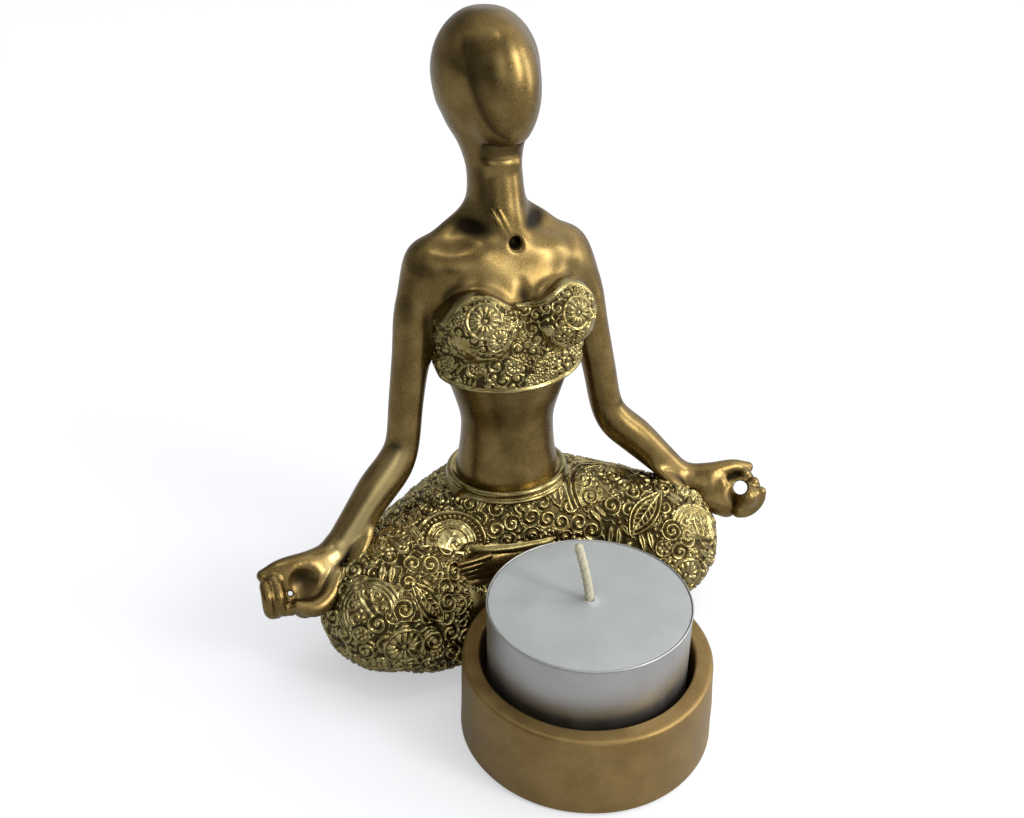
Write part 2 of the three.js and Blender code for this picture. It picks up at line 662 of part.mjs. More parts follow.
// Tinned disc with an upright collar that holds the foot of the wick
function wickSustainer() {
  return turned(
    [
      [[0, WAX_FLOOR], [SUSTAINER_DIAMETER / 2, WAX_FLOOR], [SUSTAINER_DIAMETER / 2, SUSTAINER_TOP]],
      [[COLLAR_OUTER + 0.6, SUSTAINER_TOP], [COLLAR_OUTER, SUSTAINER_TOP + 0.6]],
      [[COLLAR_OUTER, SUSTAINER_TOP + COLLAR_HEIGHT], [COLLAR_BORE, SUSTAINER_TOP + COLLAR_HEIGHT]],
      [[COLLAR_BORE, SUSTAINER_TOP], [0, SUSTAINER_TOP]],
    ],
    20,
  );
}

// Braided wick: straight through the wax, then leaning back and to one side
function wick() {
  const low = SUSTAINER_TOP + SEAT_GAP;
  const path = new THREE.CatmullRomCurve3([
    point(0, 0, low),
    point(0, 0, (low + WAX_TOP) / 2),
    point(0, 0, WAX_TOP),
    point(-WICK_LEAN_SIDE * 0.3, WICK_LEAN_BACK * 0.3, WAX_TOP + WICK_ABOVE_WAX * 0.45),
    point(-WICK_LEAN_SIDE, WICK_LEAN_BACK, WAX_TOP + WICK_ABOVE_WAX),
  ]);
  const section = new THREE.Shape().absarc(0, 0, WICK_DIAMETER / 2, 0, Math.PI * 2);
  const geometry = new THREE.ExtrudeGeometry(section, { steps: 9, curveSegments: 3, extrudePath: path });
  return solidOf(geometry);
}

function named(solid, name, colour, roughness, metalness) {
  const material = new THREE.MeshStandardMaterial({ color: colour, roughness, metalness });
  const mesh = new THREE.Mesh(geometryOf(solid), material);
  mesh.name = name;
  return mesh;
}

const figure = new THREE.Group();
figure.add(named(figureBody(), "figure_body", 0x8a6a35, 0.38, 0.9));
figure.add(named(bodice(), "bodice", 0xb89a48, 0.3, 1));
figure.add(named(trousers(), "trousers", 0xb0903f, 0.3, 1));
figure.add(named(leftFoot(0), "left_foot", 0x8a6a35, 0.4, 0.9));
figure.add(named(rightFoot(0), "right_foot", 0x8a6a35, 0.4, 0.9));
figure.add(named(candleCup(), "candle_cup", 0x8f6f41, 0.5, 0.8));

const tealight = new THREE.Group();
tealight.add(named(tealightShell(), "tealight_shell", 0xc9cacb, 0.25, 1));
tealight.add(named(tealightWax(), "tealight_wax", 0xe9ebec, 0.55, 0));
tealight.add(named(wickSustainer(), "wick_sustainer", 0xb5b5b2, 0.35, 1));
tealight.add(named(wick(), "wick", 0xece5c8, 0.9, 0));

const holder = new THREE.Group();
holder.add(figure, tealight);
export default holder;
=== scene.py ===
"""Looks of the yoga candle holder: a gold-painted casting of a figure and a candle cup, and the tealight.

The shapes are worked out in millimetres, in the frame's axes: +Z up, the figure faces -Y, and the origin is
the centre of the cup's foot. The figure is a field of signed distances, in which limbs and muscles blend
into each other as in a casting. The turned pieces are lathed from profiles.
"""
import functools
import math

import bpy
import numpy as np
from mathutils import Matrix, Vector, noise
from mathutils.kdtree import KDTree


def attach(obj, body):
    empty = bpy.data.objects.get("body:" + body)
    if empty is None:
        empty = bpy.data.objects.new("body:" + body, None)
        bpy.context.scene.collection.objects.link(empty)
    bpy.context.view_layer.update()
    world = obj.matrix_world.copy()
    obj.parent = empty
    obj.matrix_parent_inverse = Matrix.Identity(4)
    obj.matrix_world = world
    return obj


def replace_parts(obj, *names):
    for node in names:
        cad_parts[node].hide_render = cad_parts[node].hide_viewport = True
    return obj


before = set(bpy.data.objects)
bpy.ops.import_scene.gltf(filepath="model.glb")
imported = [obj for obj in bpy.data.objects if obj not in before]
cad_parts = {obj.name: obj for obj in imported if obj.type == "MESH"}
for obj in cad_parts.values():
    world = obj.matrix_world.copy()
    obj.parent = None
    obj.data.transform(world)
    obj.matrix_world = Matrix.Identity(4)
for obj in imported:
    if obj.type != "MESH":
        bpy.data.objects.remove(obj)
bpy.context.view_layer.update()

MM = 0.001
# Grid step of the large forms, and the distance that an empty grid holds
FINE = 0.3
FAR = 40.0


# Distance fields

CORNERS = [(i, j, k) for i in (0, 1) for j in (0, 1) for k in (0, 1)]
EDGES = [(a, b) for a in range(8) for b in range(a + 1, 8) if (a ^ b) in (1, 2, 4)]


def unit(values):
    """The values, held between 0 and 1."""
    return np.clip(values, 0, 1)


def highest(*parts):
    """The greatest of several values at each place."""
    return functools.reduce(np.maximum, parts)


class Shape:
    """A distance function of x, y and z, and the box that holds the shape."""

    def __init__(self, distance, low, high):
        self.distance = distance
        self.low = np.array(low, float)
        self.high = np.array(high, float)


class Field:
    """Signed distances on a regular grid, negative inside."""

    def __init__(self, low, high, step):
        self.low = np.array(low, float)
        self.step = step
        count = np.ceil((np.array(high, float) - self.low) / step).astype(int) + 1
        self.values = np.full(count, FAR, np.float32)

    def window(self, low, high):
        """The part of the grid in a box, as slices and as its x, y and z."""
        first = np.clip(np.floor((low - self.low) / self.step).astype(int), 0, self.values.shape)
        last = np.clip(np.ceil((high - self.low) / self.step).astype(int) + 1, 0, self.values.shape)
        axes = [self.low[i] + self.step * np.arange(first[i], last[i]) for i in range(3)]
        place = np.meshgrid(*[axis.astype(np.float32) for axis in axes], indexing="ij", sparse=True)
        return tuple(slice(a, b) for a, b in zip(first, last)), place

    def join(self, shape, blend=0.0, sign=1):
        """Adds a shape, with a fillet about as wide as blend. A sign of -1 takes the shape away."""
        reach = blend + 3 * self.step
        part, place = self.window(shape.low - reach, shape.high + reach)
        self.values[part] = sign * smooth_min(sign * self.values[part], shape.distance(*place), blend)

    def cut(self, shape, blend=0.0):
        """Takes a shape away, with a rounded edge about as wide as blend."""
        self.join(shape, blend, -1)

    def soften(self, rounds):
        """Rounds off the creases by a few tenths of a millimetre."""
        for _ in range(rounds):
            for axis in range(3):
                inner = np.moveaxis(self.values, axis, 0)
                inner[1:-1] = 0.25 * (inner[:-2] + 2 * inner[1:-1] + inner[2:])

    def sample(self, points):
        """Distances at points, read between the grid's values."""
        where = (points - self.low) / self.step
        cell = np.clip(np.floor(where).astype(int), 0, np.array(self.values.shape) - 2)
        share = np.clip(where - cell, 0, 1)
        total = np.zeros(len(points))
        for corner in CORNERS:
            weight = np.prod(np.where(corner, share, 1 - share), axis=1)
            total += weight * self.values[tuple((cell + corner).T)]
        return total

    def slope(self, points):
        """Direction in which the distance grows, at points."""
        made = np.empty_like(points)
        for axis in range(3):
            shift = np.zeros(3)
            shift[axis] = self.step
            made[:, axis] = (self.sample(points + shift) - self.sample(points - shift)) / (2 * self.step)
        return made


def smooth_min(a, b, blend):
    """The lesser of two distances, rounded where they meet, about as wide as blend."""
    if blend <= 0:
        return np.minimum(a, b)
    share = unit(0.5 + 0.5 * (b - a) / blend)
    return b + (a - b) * share - blend * share * (1 - share)


def surface_of(field):
    """Vertices and quads of a field's surface: one vertex in each cell that the surface crosses."""
    inside = field.values < 0
    count = np.zeros([n - 1 for n in inside.shape], np.int8)
    for i, j, k in CORNERS:
        count += inside[i : i + count.shape[0], j : j + count.shape[1], k : k + count.shape[2]]
    active = (count > 0) & (count < 8)
    cells = np.argwhere(active)
    values = np.stack([field.values[tuple((cells + corner).T)] for corner in CORNERS], axis=1)
    total = np.zeros((len(cells), 3))
    crossings = np.zeros(len(cells))
    for a, b in EDGES:
        crossed = (values[:, a] < 0) != (values[:, b] < 0)
        share = np.where(crossed, values[:, a] / np.where(crossed, values[:, a] - values[:, b], 1), 0)
        start, way = np.array(CORNERS[a]), np.array(CORNERS[b]) - np.array(CORNERS[a])
        total += crossed[:, None] * (start + share[:, None] * way)
        crossings += crossed
    points = field.low + field.step * (cells + total / crossings[:, None])
    number = np.full(active.shape, -1, np.int32)
    number[active] = np.arange(len(cells))
    quads = [quads_across(inside, number, axis) for axis in range(3)]
    return points, np.concatenate(quads)


def quads_across(inside, number, axis):
    """The quads that cross the grid's edges along one axis."""
    u, v = (axis + 1) % 3, (axis + 2) % 3
    low, high = np.moveaxis(inside, axis, 0)[:-1], np.moveaxis(inside, axis, 0)[1:]
    crossed = np.moveaxis(low != high, 0, axis)
    places = np.argwhere(crossed)
    keep = (places[:, u] > 0) & (places[:, v] > 0)
    keep &= (places[:, u] < number.shape[u]) & (places[:, v] < number.shape[v])
    places = places[keep]
    corners = []
    for du, dv in ((-1, -1), (0, -1), (0, 0), (-1, 0)):
        at = places.copy()
        at[:, u] += du
        at[:, v] += dv
        corners.append(number[tuple(at.T)])
    quads = np.stack(corners, axis=1)
    outward = inside[tuple(places.T)]
    return np.where(outward[:, None], quads, quads[:, ::-1])


def neighbour_mean(values, quads):
    """Mean of each vertex's neighbours."""
    start = quads.ravel()
    end = np.roll(quads, -1, axis=1).ravel()
    count = np.maximum(np.bincount(start, minlength=len(values)), 1)
    columns = [np.bincount(start, weights=column[end], minlength=len(values)) / count for column in values.T]
    return np.stack(columns, axis=1)


def settled(field, points, quads, rounds=2):
    """Evens out the vertices and lays them back on the field's surface."""
    for _ in range(rounds):
        points = 0.5 * points + 0.5 * neighbour_mean(points, quads)
        slope = field.slope(points)
        length = np.maximum((slope**2).sum(axis=1), 0.05)
        points = points - (field.sample(points) / length)[:, None] * slope
    return points


def curve_through(knots, count):
    """Points on a smooth curve through rows of knots, evenly spread over the spans."""
    knots = np.array(knots, float)
    ends = np.vstack([2 * knots[0] - knots[1], knots, 2 * knots[-1] - knots[-2]])
    share = np.linspace(0, len(knots) - 1, count)
    span = np.minimum(share.astype(int), len(knots) - 2)
    t = (share - span)[:, None]
    a, b, c, d = (ends[span + i] for i in range(4))
    return 0.5 * (2 * b + (c - a) * t + (2 * a - 5 * b + 4 * c - d) * t**2 + (3 * b - a - 3 * c + d) * t**3)


def ball(centre, radii, tilt=0.0):
    """An ellipsoid, tilted about the X axis."""
    radii = np.array(radii, float) * np.ones(3)
    c, s = math.cos(tilt), math.sin(tilt)

    def distance(x, y, z):
        dx, dy, dz = x - centre[0], y - centre[1], z - centre[2]
        ry, rz = c * dy + s * dz, c * dz - s * dy
        scaled = np.sqrt((dx / radii[0]) ** 2 + (ry / radii[1]) ** 2 + (rz / radii[2]) ** 2)
        bent = np.sqrt((dx / radii[0] ** 2) ** 2 + (ry / radii[1] ** 2) ** 2 + (rz / radii[2] ** 2) ** 2)
        return scaled * (scaled - 1) / np.maximum(bent, 1e-6)

    reach = radii.max()
    return Shape(distance, np.array(centre) - reach, np.array(centre) + reach)


def limb(knots, steps=5, flat=None, flatness=1.0):
    """A round limb through knots of x, y, z and radius, thinner by flatness along the direction flat."""
    line = curve_through(knots, (len(knots) - 1) * steps + 1)

    def distance(x, y, z):
        nearest = None
        for start, end in zip(line[:-1], line[1:]):
            way = end[:3] - start[:3]
            px, py, pz = x - start[0], y - start[1], z - start[2]
            share = np.clip((px * way[0] + py * way[1] + pz * way[2]) / (way @ way), 0, 1)
            qx, qy, qz = px - share * way[0], py - share * way[1], pz - share * way[2]
            square = qx**2 + qy**2 + qz**2
            if flat is not None:
                square = square + (flatness**-2 - 1) * (qx * flat[0] + qy * flat[1] + qz * flat[2]) ** 2
            here = np.sqrt(square) - (start[3] + share * (end[3] - start[3]))
            nearest = here if nearest is None else np.minimum(nearest, here)
        return nearest

    reach = line[:, 3:4]
    return Shape(distance, (line[:, :3] - reach).min(0), (line[:, :3] + reach).max(0))


def column(levels):
    """An upright form through levels of height, setback, half width, and depths in front and behind."""
    fine = curve_through(levels, len(levels) * 8)

    def distance(x, y, z):
        centre, wide, front, rear = (np.interp(z, fine[:, 0], fine[:, i]) for i in (1, 2, 3, 4))
        deep = np.where(y < centre, front, rear)
        section = (np.sqrt((x / wide) ** 2 + ((y - centre) / deep) ** 2) - 1) * np.minimum(wide, deep)
        return np.maximum(section, np.maximum(levels[0][0] - z, z - levels[-1][0])).astype(np.float32)

    wide, deep = fine[:, 2].max(), fine[:, 3:].max()
    low = (-wide, fine[:, 1].min() - deep, levels[0][0])
    high = (wide, fine[:, 1].max() + deep, levels[-1][0])
    return Shape(distance, low, high)


# Meshes

def linked(name, data):
    """A new object in the scene."""
    made = bpy.data.objects.new(name, data)
    bpy.context.scene.collection.objects.link(made)
    return made


def mesh_object(name, points, quads, attributes):
    """A smooth mesh object from points in millimetres, quads and a value of each attribute per point."""
    mesh = bpy.data.meshes.new(name)
    mesh.vertices.add(len(points))
    mesh.vertices.foreach_set("co", (points * MM).astype(np.float32).ravel())
    flat = quads.astype(np.int32)
    mesh.loops.add(flat.size)
    mesh.loops.foreach_set("vertex_index", flat.ravel())
    mesh.polygons.add(len(flat))
    mesh.polygons.foreach_set("loop_start", np.arange(0, flat.size, 4, dtype=np.int32))
    mesh.polygons.foreach_set("use_smooth", np.ones(len(flat), bool))
    mesh.update(calc_edges=True)
    mesh.validate()
    for title, values in attributes.items():
        layer = mesh.attributes.new(title, "FLOAT", "POINT")
        layer.data.foreach_set("value", values.astype(np.float32))
    return linked(name, mesh)


def faced_object(name, points, faces):
    """A smooth mesh object from points in millimetres and faces with any number of corners."""
    mesh = bpy.data.meshes.new(name)
    mesh.from_pydata([[c * MM for c in p] for p in points], [], faces)
    mesh.shade_smooth()
    return linked(name, mesh)


# The figure's forms

def sided(side, knots):
    """Knots of the figure's left side where side is 1, and their mirror image where it is -1."""
    return [(side * x, *others) for x, *others in knots]


# Height, setback, half width, depth in front and depth behind
TRUNK = [
    (27, 41.5, 9, 8, 8), (33, 41.5, 10.7, 9.8, 9.9), (39, 41.3, 9.95, 8.6, 8.9),
    (45.8, 40.9, 9.7, 7.7, 8.0), (52, 40.3, 11.3, 8.0, 8.2), (58, 40.0, 13.2, 8.5, 8.6),
    (64, 40.4, 14.1, 8.8, 8.8), (70, 41.6, 14.2, 8.9, 8.5), (76, 43.2, 14.2, 7.9, 7.8),
    (80.6, 44.8, 12.4, 6.3, 6.6), (84.5, 46.3, 7.6, 5.4, 5.8), (88, 47.3, 5.5, 4.9, 5.3),
    (92.5, 48.2, 4.75, 4.6, 4.8), (98, 48.9, 4.7, 4.6, 4.7), (104, 49.3, 4.8, 4.8, 4.8),
]


# From here on, knots are x, y, z and radius
ARM = [
    (13.6, 45.9, 77.7, 4.0), (17.2, 44.6, 70.5, 4.15), (19.0, 43.3, 61.6, 3.75),
    (20.9, 42.0, 51.6, 3.5), (22.3, 40.9, 43.6, 3.45), (24.6, 40.0, 39.3, 3.85),
    (28.5, 38.8, 35.6, 3.95), (33.2, 37.2, 30.6, 3.5), (38.3, 35.5, 25.2, 3.05),
]
WRIST_WEB = [
    (31.0, 34.2, 29.4, 0.9), (34.6, 31.4, 26.0, 1.7), (37.6, 29.0, 22.2, 1.6),
    (38.6, 27.0, 17.8, 1.0),
]
LEFT_SHOULDER_DROP = 1.2
BREAST_X, BREAST_Y, BREAST_Z = 7.8, 36.0, 69.6
THROAT = [(0, 46.8, 98, 4.3), (0, 45.3, 91, 4.5), (0, 44.0, 85, 4.6), (0, 44.2, 79, 3.8)]
TENDONS = [
    [(-3.3, 40.6, 89.8, 0.15), (-2.2, 39.9, 87.0, 0.45), (-0.7, 39.5, 84.0, 0.45)],
    [(-1.9, 40.2, 89.2, 0.15), (-0.9, 39.8, 86.6, 0.4), (0.3, 39.5, 84.2, 0.4)],
]
FACE_GROOVE = [
    (9.6, 41.8, 122.6, 2.3), (7.8, 41.2, 119.6, 2.9), (7.9, 38.8, 113.7, 2.9),
    (7.3, 37.2, 108.6, 2.8), (5.9, 36.5, 105.2, 2.3), (4.2, 36.2, 103.2, 1.5),
]
# Height and half width of the edge of the painted shade down the face
FACE_SHADE_EDGE = [(101.9, 0.2), (102.9, 2.4), (104.6, 4.3), (107.6, 5.9), (111.6, 7.0), (116.4, 7.5), (121.2, 7.0)]
# Line along the figure's right forearm where a highlight is painted, and the half width of that painted highlight
FOREARM_HIGHLIGHT_LINE = [
    (-24.2, 37.4, 43.4), (-27.4, 35.9, 38.9), (-31.0, 34.7, 34.7), (-34.6, 33.6, 30.4),
    (-38.1, 32.7, 27.2), (-40.8, 30.3, 24.8),
]
FOREARM_HIGHLIGHT_HALF_WIDTH = 1.7


def figure_field():
    """Trunk, neck, arms, hands and head in one field."""
    body = Field((-56.5, 22.5, 14.5), (56.5, 63, 125), FINE)
    body.join(column(TRUNK))
    for side in (-1, 1):
        drop = LEFT_SHOULDER_DROP if side > 0 else 0.0
        yoke = [(3.0, 48.0, 86.5, 2.6), (8.0, 47.0, 83.6, 3.0), (12.6, 46.0, 79.5 - drop, 3.9)]
        body.join(limb(sided(side, yoke)), 2.6)
        body.join(limb(sided(side, ARM), steps=3), 3.0)
        body.join(ball((side * 14.5, 45.4, 76.6 - drop), (4.2, 5.1, 5.5)), 3.4)
        body.join(ball((side * BREAST_X, BREAST_Y, BREAST_Z), (6.5, 7.3, 6.3)), 1.8)
        body.join(ball((side * 6.4, 40.8, 79.2), (5.6, 2.8, 3.0)), 4.0)
        body.join(limb(sided(side, WRIST_WEB)), 1.6)
    body.join(limb(THROAT), 3.2)
    head_forms(body)
    body.soften(1)
    for side in (-1, 1):
        hand_forms(body, side)
    for tendon in TENDONS:
        body.join(limb(tendon), 0.35)
    throat_pit = ball((1.0, 38.9, 82.7), (1.2, 1.8, 1.0), 0.3)
    body.cut(throat_pit, 0.8)
    cleft = limb([(0.6, 34.4, 76.6, 0.3), (0.8, 32.4, 72.6, 1.2)])
    body.cut(cleft, 2.0)
    return body


def head_forms(body):
    """A smooth egg with a soft groove down each side of the face, shallower and further back on the left."""
    body.join(ball((-0.6, 50.2, 112.2), (9.95, 10.7, 11.5), 0.12))
    body.join(limb([(0, 49.8, 106.6, 8.9), (0, 49.2, 100.5, 5.7)]), 2.4)
    body.join(ball((0.3, 45.5, 110.1), (7.6, 8.5, 12.1), -0.05), 0.7)
    body.soften(6)
    for side, back, thin in ((-1, 0.0, 0.0), (1, 1.6, 0.45)):
        groove = [(side * (x + 0.6 * back), y + back, z, radius - thin) for x, y, z, radius in FACE_GROOVE]
        body.cut(limb(groove), 0.9)
    body.soften(4)
    under_chin = block((-6.5, 34, 97.5), (6.5, 42.5, 100.8))
    body.cut(under_chin, 0.6)
    neck_fold = ball((0.1, 43.2, 96.7), (3.3, 1.0, 0.8))
    body.join(neck_fold, 1.6)


def patch(x, z, middle, size):
    """A soft patch: 1 in its middle, falling off over its size across and up."""
    return np.exp(-(((x - middle[0]) / size[0]) ** 2) - ((z - middle[1]) / size[1]) ** 2)


def painted_shade(points):
    """Painted shade: a dark painted reflection along the edge of the face, stronger on the figure's right, a
    painted shadow under the chin, and painted shade in the hollows of neck, chest and elbows.
    """
    x, y, z = points.T
    line = curve_through(FACE_SHADE_EDGE, 40)
    inward = np.interp(z, line[:, 0], line[:, 1]) - np.abs(x)
    band = unit((inward + 0.3) / 1.1) * unit(1.1 - inward / 3.6) * unit((121.6 - z) / 3.5) * (z > 101.8)
    # Painted shadow under the chin, and painted shade in the neck's groove, the collar hollows, the cleft and the
    # elbows
    chin = unit((100.9 - z) / 0.4) * unit((z - 97.4) / 0.3) * unit((5.2 - np.abs(x)) / 1.5)
    neck = np.exp(-((x + 4.1) ** 2)) * unit((z - 87) / 4) * unit((98.5 - z) / 3)
    collar = patch(np.abs(x), z, (6.4, 85.6), (3.4, 1.9))
    cleft = patch(x, z, (0.8, 74.0), (1.7, 2.6))
    elbow = patch(np.abs(x), z, (24.2, 44.6), (1.7, 1.1)) * (y < 39.5)
    # Painted dark reflection along the face's edge, stronger on the figure's right
    face = np.where(x < 0, 0.33, 0.1) * band
    made = highest(face, 0.26 * chin, 0.24 * neck, 0.5 * collar, 0.36 * cleft, 0.3 * elbow)
    return np.where(y < 46.5, made, 0)


def painted_forearm_highlight(points):
    """Painted highlight: paint made brighter along the front of the figure's right forearm, from the elbow to the
    wrist, where a reflection of light falls.
    """
    square = np.full(len(points), FAR**2)
    for knot in curve_through(FOREARM_HIGHLIGHT_LINE, 30):
        square = np.minimum(square, ((points - knot) ** 2).sum(axis=1))
    return np.exp(-square / FOREARM_HIGHLIGHT_HALF_WIDTH**2)


RING = (49.5, 28.9, 22.8)
RING_RADIUS = 3.6
FINGER_PITCH = 2.3
WRIST = [(38.3, 35.5, 25.2, 3.05), (42.4, 33.0, 23.0, 3.3), (46.4, 30.2, 20.6, 3.0)]
HEEL = [(42.5, 31.0, 20.6, 2.6), (46.6, 28.6, 19.4, 2.6)]
THUMB = [
    (40.5, 34.4, 25.2, 2.6), (44.6, 32.9, 25.9, 2.25), (49.6, 32.4, 26.6, 1.6),
    (53.4, 31.9, 25.9, 1.2),
]
PALM_RIM = [
    (39.4, 30.4, 23.0, 2.0), (41.9, 27.7, 20.9, 1.9), (45.2, 26.1, 20.1, 1.75),
    (48.3, 26.2, 21.4, 1.1),
]
LEFT_HOLE = [(44.97, 21.77, 28.58, 1.5), (56.7, 38.4, 15.8, 1.5)]
RIGHT_HOLE = [(49.9, 22.5, 27.6, 0.5), (48.1, 36.7, 16.6, 0.5)]
# Place across and height of the tips of the right hand's upright fingers
UPRIGHT_FINGERS = [(53.5, 25.6), (51.4, 25.2), (49.5, 21.9)]


def curled_finger(index):
    """Knots of one of the four fingers that curl round the ring, each shorter than the one behind it."""
    knots = []
    for step, turn in enumerate(np.linspace(-118, 74 - index * 21, 6)):
        angle = math.radians(turn)
        x = RING[0] + math.cos(angle) * RING_RADIUS
        z = RING[2] + math.sin(angle) * RING_RADIUS
        knots.append((x, RING[1] + (1.5 - index) * FINGER_PITCH, z, 1.46 - 0.07 * step))
    return knots


def hand_forms(body, side):
    """A hand beyond the knee: a closed ring on the left, a cupped palm on the right."""
    body.join(limb(sided(side, WRIST)), 1.2)
    body.join(limb(sided(side, HEEL)), 1.2)
    body.join(ball((side * 44.0, 32.0, 23.6), (3.6, 2.5, 3.4)), 1.2)
    for index in range(2 if side < 0 else 4):
        body.join(limb(sided(side, curled_finger(index)), steps=2), 0.6)
    body.join(limb(sided(side, THUMB)), 0.9)
    if side > 0:
        body.join(ball((RING[0] - 3.4, RING[1] + 1.4, RING[2] - 0.4), (2.0, 1.8, 3.4)), 1.4)
        web = [(RING[0] + 0.3, 26.2, RING[2] - 0.3, 2.6), (RING[0] + 0.2, 32.0, RING[2] - 0.2, 2.5)]
        body.join(limb(web), 1.3)
        body.cut(limb(LEFT_HOLE), 0.5)
        return
    body.join(ball((side * 48.6, 31.4, 22.8), (4.6, 2.4, 4.2)), 1.2)
    body.cut(ball((side * 46.2, 26.8, 25.2), (3.7, 4.1, 3.5)), 0.6)
    body.join(limb(sided(side, PALM_RIM)), 0.6)
    for x, top in UPRIGHT_FINGERS:
        upper = [(x, 29.0, top, 1.05), (x, 27.3, top - 1.7, 1.2)]
        lower = [(x - 0.2, 27.2, 20.8, 1.25), (x - 1.5, 28.4, 19.3, 1.2)]
        body.join(limb(sided(side, upper + lower)), 0.3)
    body.cut(limb(sided(side, RIGHT_HOLE)), 0.3)


def vertex_normals(points, quads):
    """Unit normals at the vertices, from the quads round them."""
    across = np.cross(points[quads[:, 2]] - points[quads[:, 0]], points[quads[:, 3]] - points[quads[:, 1]])
    normals = np.zeros_like(points)
    for corner in range(4):
        for axis in range(3):
            normals[:, axis] += np.bincount(quads[:, corner], weights=across[:, axis], minlength=len(points))
    return normals / np.maximum(np.linalg.norm(normals, axis=1, keepdims=True), 1e-9)


def subdivided(points, quads):
    """Each quad as four, with a point in the middle of each edge and each quad."""
    sides = np.stack([quads, np.roll(quads, -1, axis=1)], axis=2).reshape(-1, 2)
    edges, number = np.unique(np.sort(sides, axis=1), axis=0, return_inverse=True)
    middle = points[edges].mean(axis=1)
    centre = points[quads].mean(axis=1)
    edge_at = number.reshape(-1, 4) + len(points)
    centre_at = np.arange(len(quads)) + len(points) + len(edges)
    parts = [np.stack([quads[:, i], edge_at[:, i], centre_at, edge_at[:, i - 1]], axis=1) for i in range(4)]
    return np.concatenate([points, middle, centre]), np.concatenate(parts)


def hollows(points, quads, normals, rounds=40):
    """How far each vertex lies below its surroundings: above 0 in creases, below 0 on edges."""
    smooth = points
    for _ in range(rounds):
        smooth = neighbour_mean(smooth, quads)
    return ((smooth - points) * normals).sum(axis=1)


def build_figure():
    """The figure's skin, with its darkening in the creases and painted shade, and a painted highlight along the
    right forearm, as attributes.
    """
    field = figure_field()
    points, quads = surface_of(field)
    points = settled(field, points, quads)
    crease_and_painted_shade = hollows(points, quads, vertex_normals(points, quads))
    # Painted shade on the face's edge, under the chin and in the neck, chest and elbow hollows, on top of the
    # darkening in the creases
    crease_and_painted_shade = np.maximum(crease_and_painted_shade, painted_shade(points))
    figure = mesh_object("figure_skin", points, quads, {"crease_and_painted_shade": crease_and_painted_shade, "painted_highlight": painted_forearm_highlight(points)})
    figure.data.materials.append(skin_paint())
    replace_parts(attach(figure, "casting"), "figure_body")


# Feet

# Height above the middle of the foot, and radius
TOES = [(3.7, 0.66), (2.5, 0.68), (1.3, 0.68), (0.1, 0.72), (-1.7, 1.25)]


def build_foot(name, node, side, height):
    """A foot on its edge, sole forward, with five toes above each other."""
    field = Field((-18.5, 22.5, height - 6), (18.5, 32.5, height + 6), 0.17)
    sole = [(-6, 28.6, height, 2.6), (-1, 28.2, height, 2.9), (5, 27.8, height, 3.5), (11, 27.4, height, 3.9)]
    field.join(limb(sided(side, sole), flat=(0, 1, 0), flatness=0.6))
    field.join(ball((side * 10.4, 26.9, height + 0.8), (2.2, 1.3, 2.8)), 1.2)
    for index, (lift, radius) in enumerate(TOES):
        root = (9.5, 26.4, height + lift * 0.95, radius)
        joint = (13, 25.7, height + lift, radius * 0.9)
        tip = (16.3 - index * 0.3, 25.6, height + lift, radius)
        field.join(limb(sided(side, [root, joint, tip])), 0.12)
    points, quads = surface_of(field)
    points = settled(field, points, quads)
    crease_and_painted_shade = hollows(points, quads, vertex_normals(points, quads), 30)
    foot = mesh_object(name, points, quads, {"crease_and_painted_shade": crease_and_painted_shade * 1.2})
    foot.data.materials.append(bpy.data.materials["skin_paint"])
    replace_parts(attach(foot, "casting"), node)


# Embossed ornament

def raised(distance, half):
    """Rounded line or bead: 1 on its crest, 0 outside its half width."""
    share = unit(1 - np.abs(distance) / half)
    return share * (2 - share)


def spiral(a, b, size, hand=1.0, pitch=1.1, phase=0.0):
    """A scroll that winds round a small bead."""
    radius, angle = np.hypot(a, b), np.arctan2(b, a)
    turn = radius / pitch - hand * angle / (2 * math.pi) + phase
    arms = raised((np.abs(turn - np.floor(turn) - 0.5)) * pitch, 0.36 * pitch)
    return np.where(radius < size, np.maximum(arms, raised(radius, 0.5)), 0)


def rosette(a, b, size, petals):
    """A boss with petals round it, and a ring round the petals."""
    radius, angle = np.hypot(a, b) / size, np.arctan2(b, a)
    lobe = np.abs(np.cos(angle * petals / 2)) ** 0.7
    petal = lobe * raised(radius - 0.52, 0.34)
    return highest(petal, raised(radius, 0.17), raised(radius - 0.92, 0.1))


def leaf(a, b, length, width):
    """A pointed leaf along b, with a groove along its middle."""
    share = unit(b / length * 0.5 + 0.5)
    half = width * np.sin(math.pi * share**0.8) + 1e-3
    return unit(1.3 * (1 - (a / half) ** 2)) * unit(0.35 + np.abs(a) / (0.25 * width))


def arch(a, b, size):
    """A round arch: three lines, a row of beads between the outer two, and a curl in its mouth."""
    radius, angle = np.hypot(a, b), np.arctan2(a, b)
    step = 0.95 / (size * 0.86)
    around = (angle / step - np.floor(angle / step) - 0.5) * step * size * 0.86
    made = highest(
        raised(radius - size, 0.42),
        raised(np.hypot(around, radius - size * 0.86), 0.44),
        raised(radius - size * 0.72, 0.4),
        0.7 * raised(radius - size * 0.62, 0.6),
        raised(radius - size * 0.52, 0.36),
    )
    curl = spiral(a - 0.12 * size, b - 0.05 * size, size * 0.24, 1, 0.9)
    mouth = np.maximum(0.62 * (radius < size * 0.46), curl)
    return np.where(radius < size * 0.47, mouth, made)


# Places of the curls in a fan, as shares of its size, and the hand they turn
FAN_CURLS = [
    (0.42, 0.38, 1), (-0.42, 0.38, -1), (0.46, -0.05, -1), (-0.46, -0.05, 1), (0.2, 0.6, 1),
    (-0.2, 0.6, -1),
]


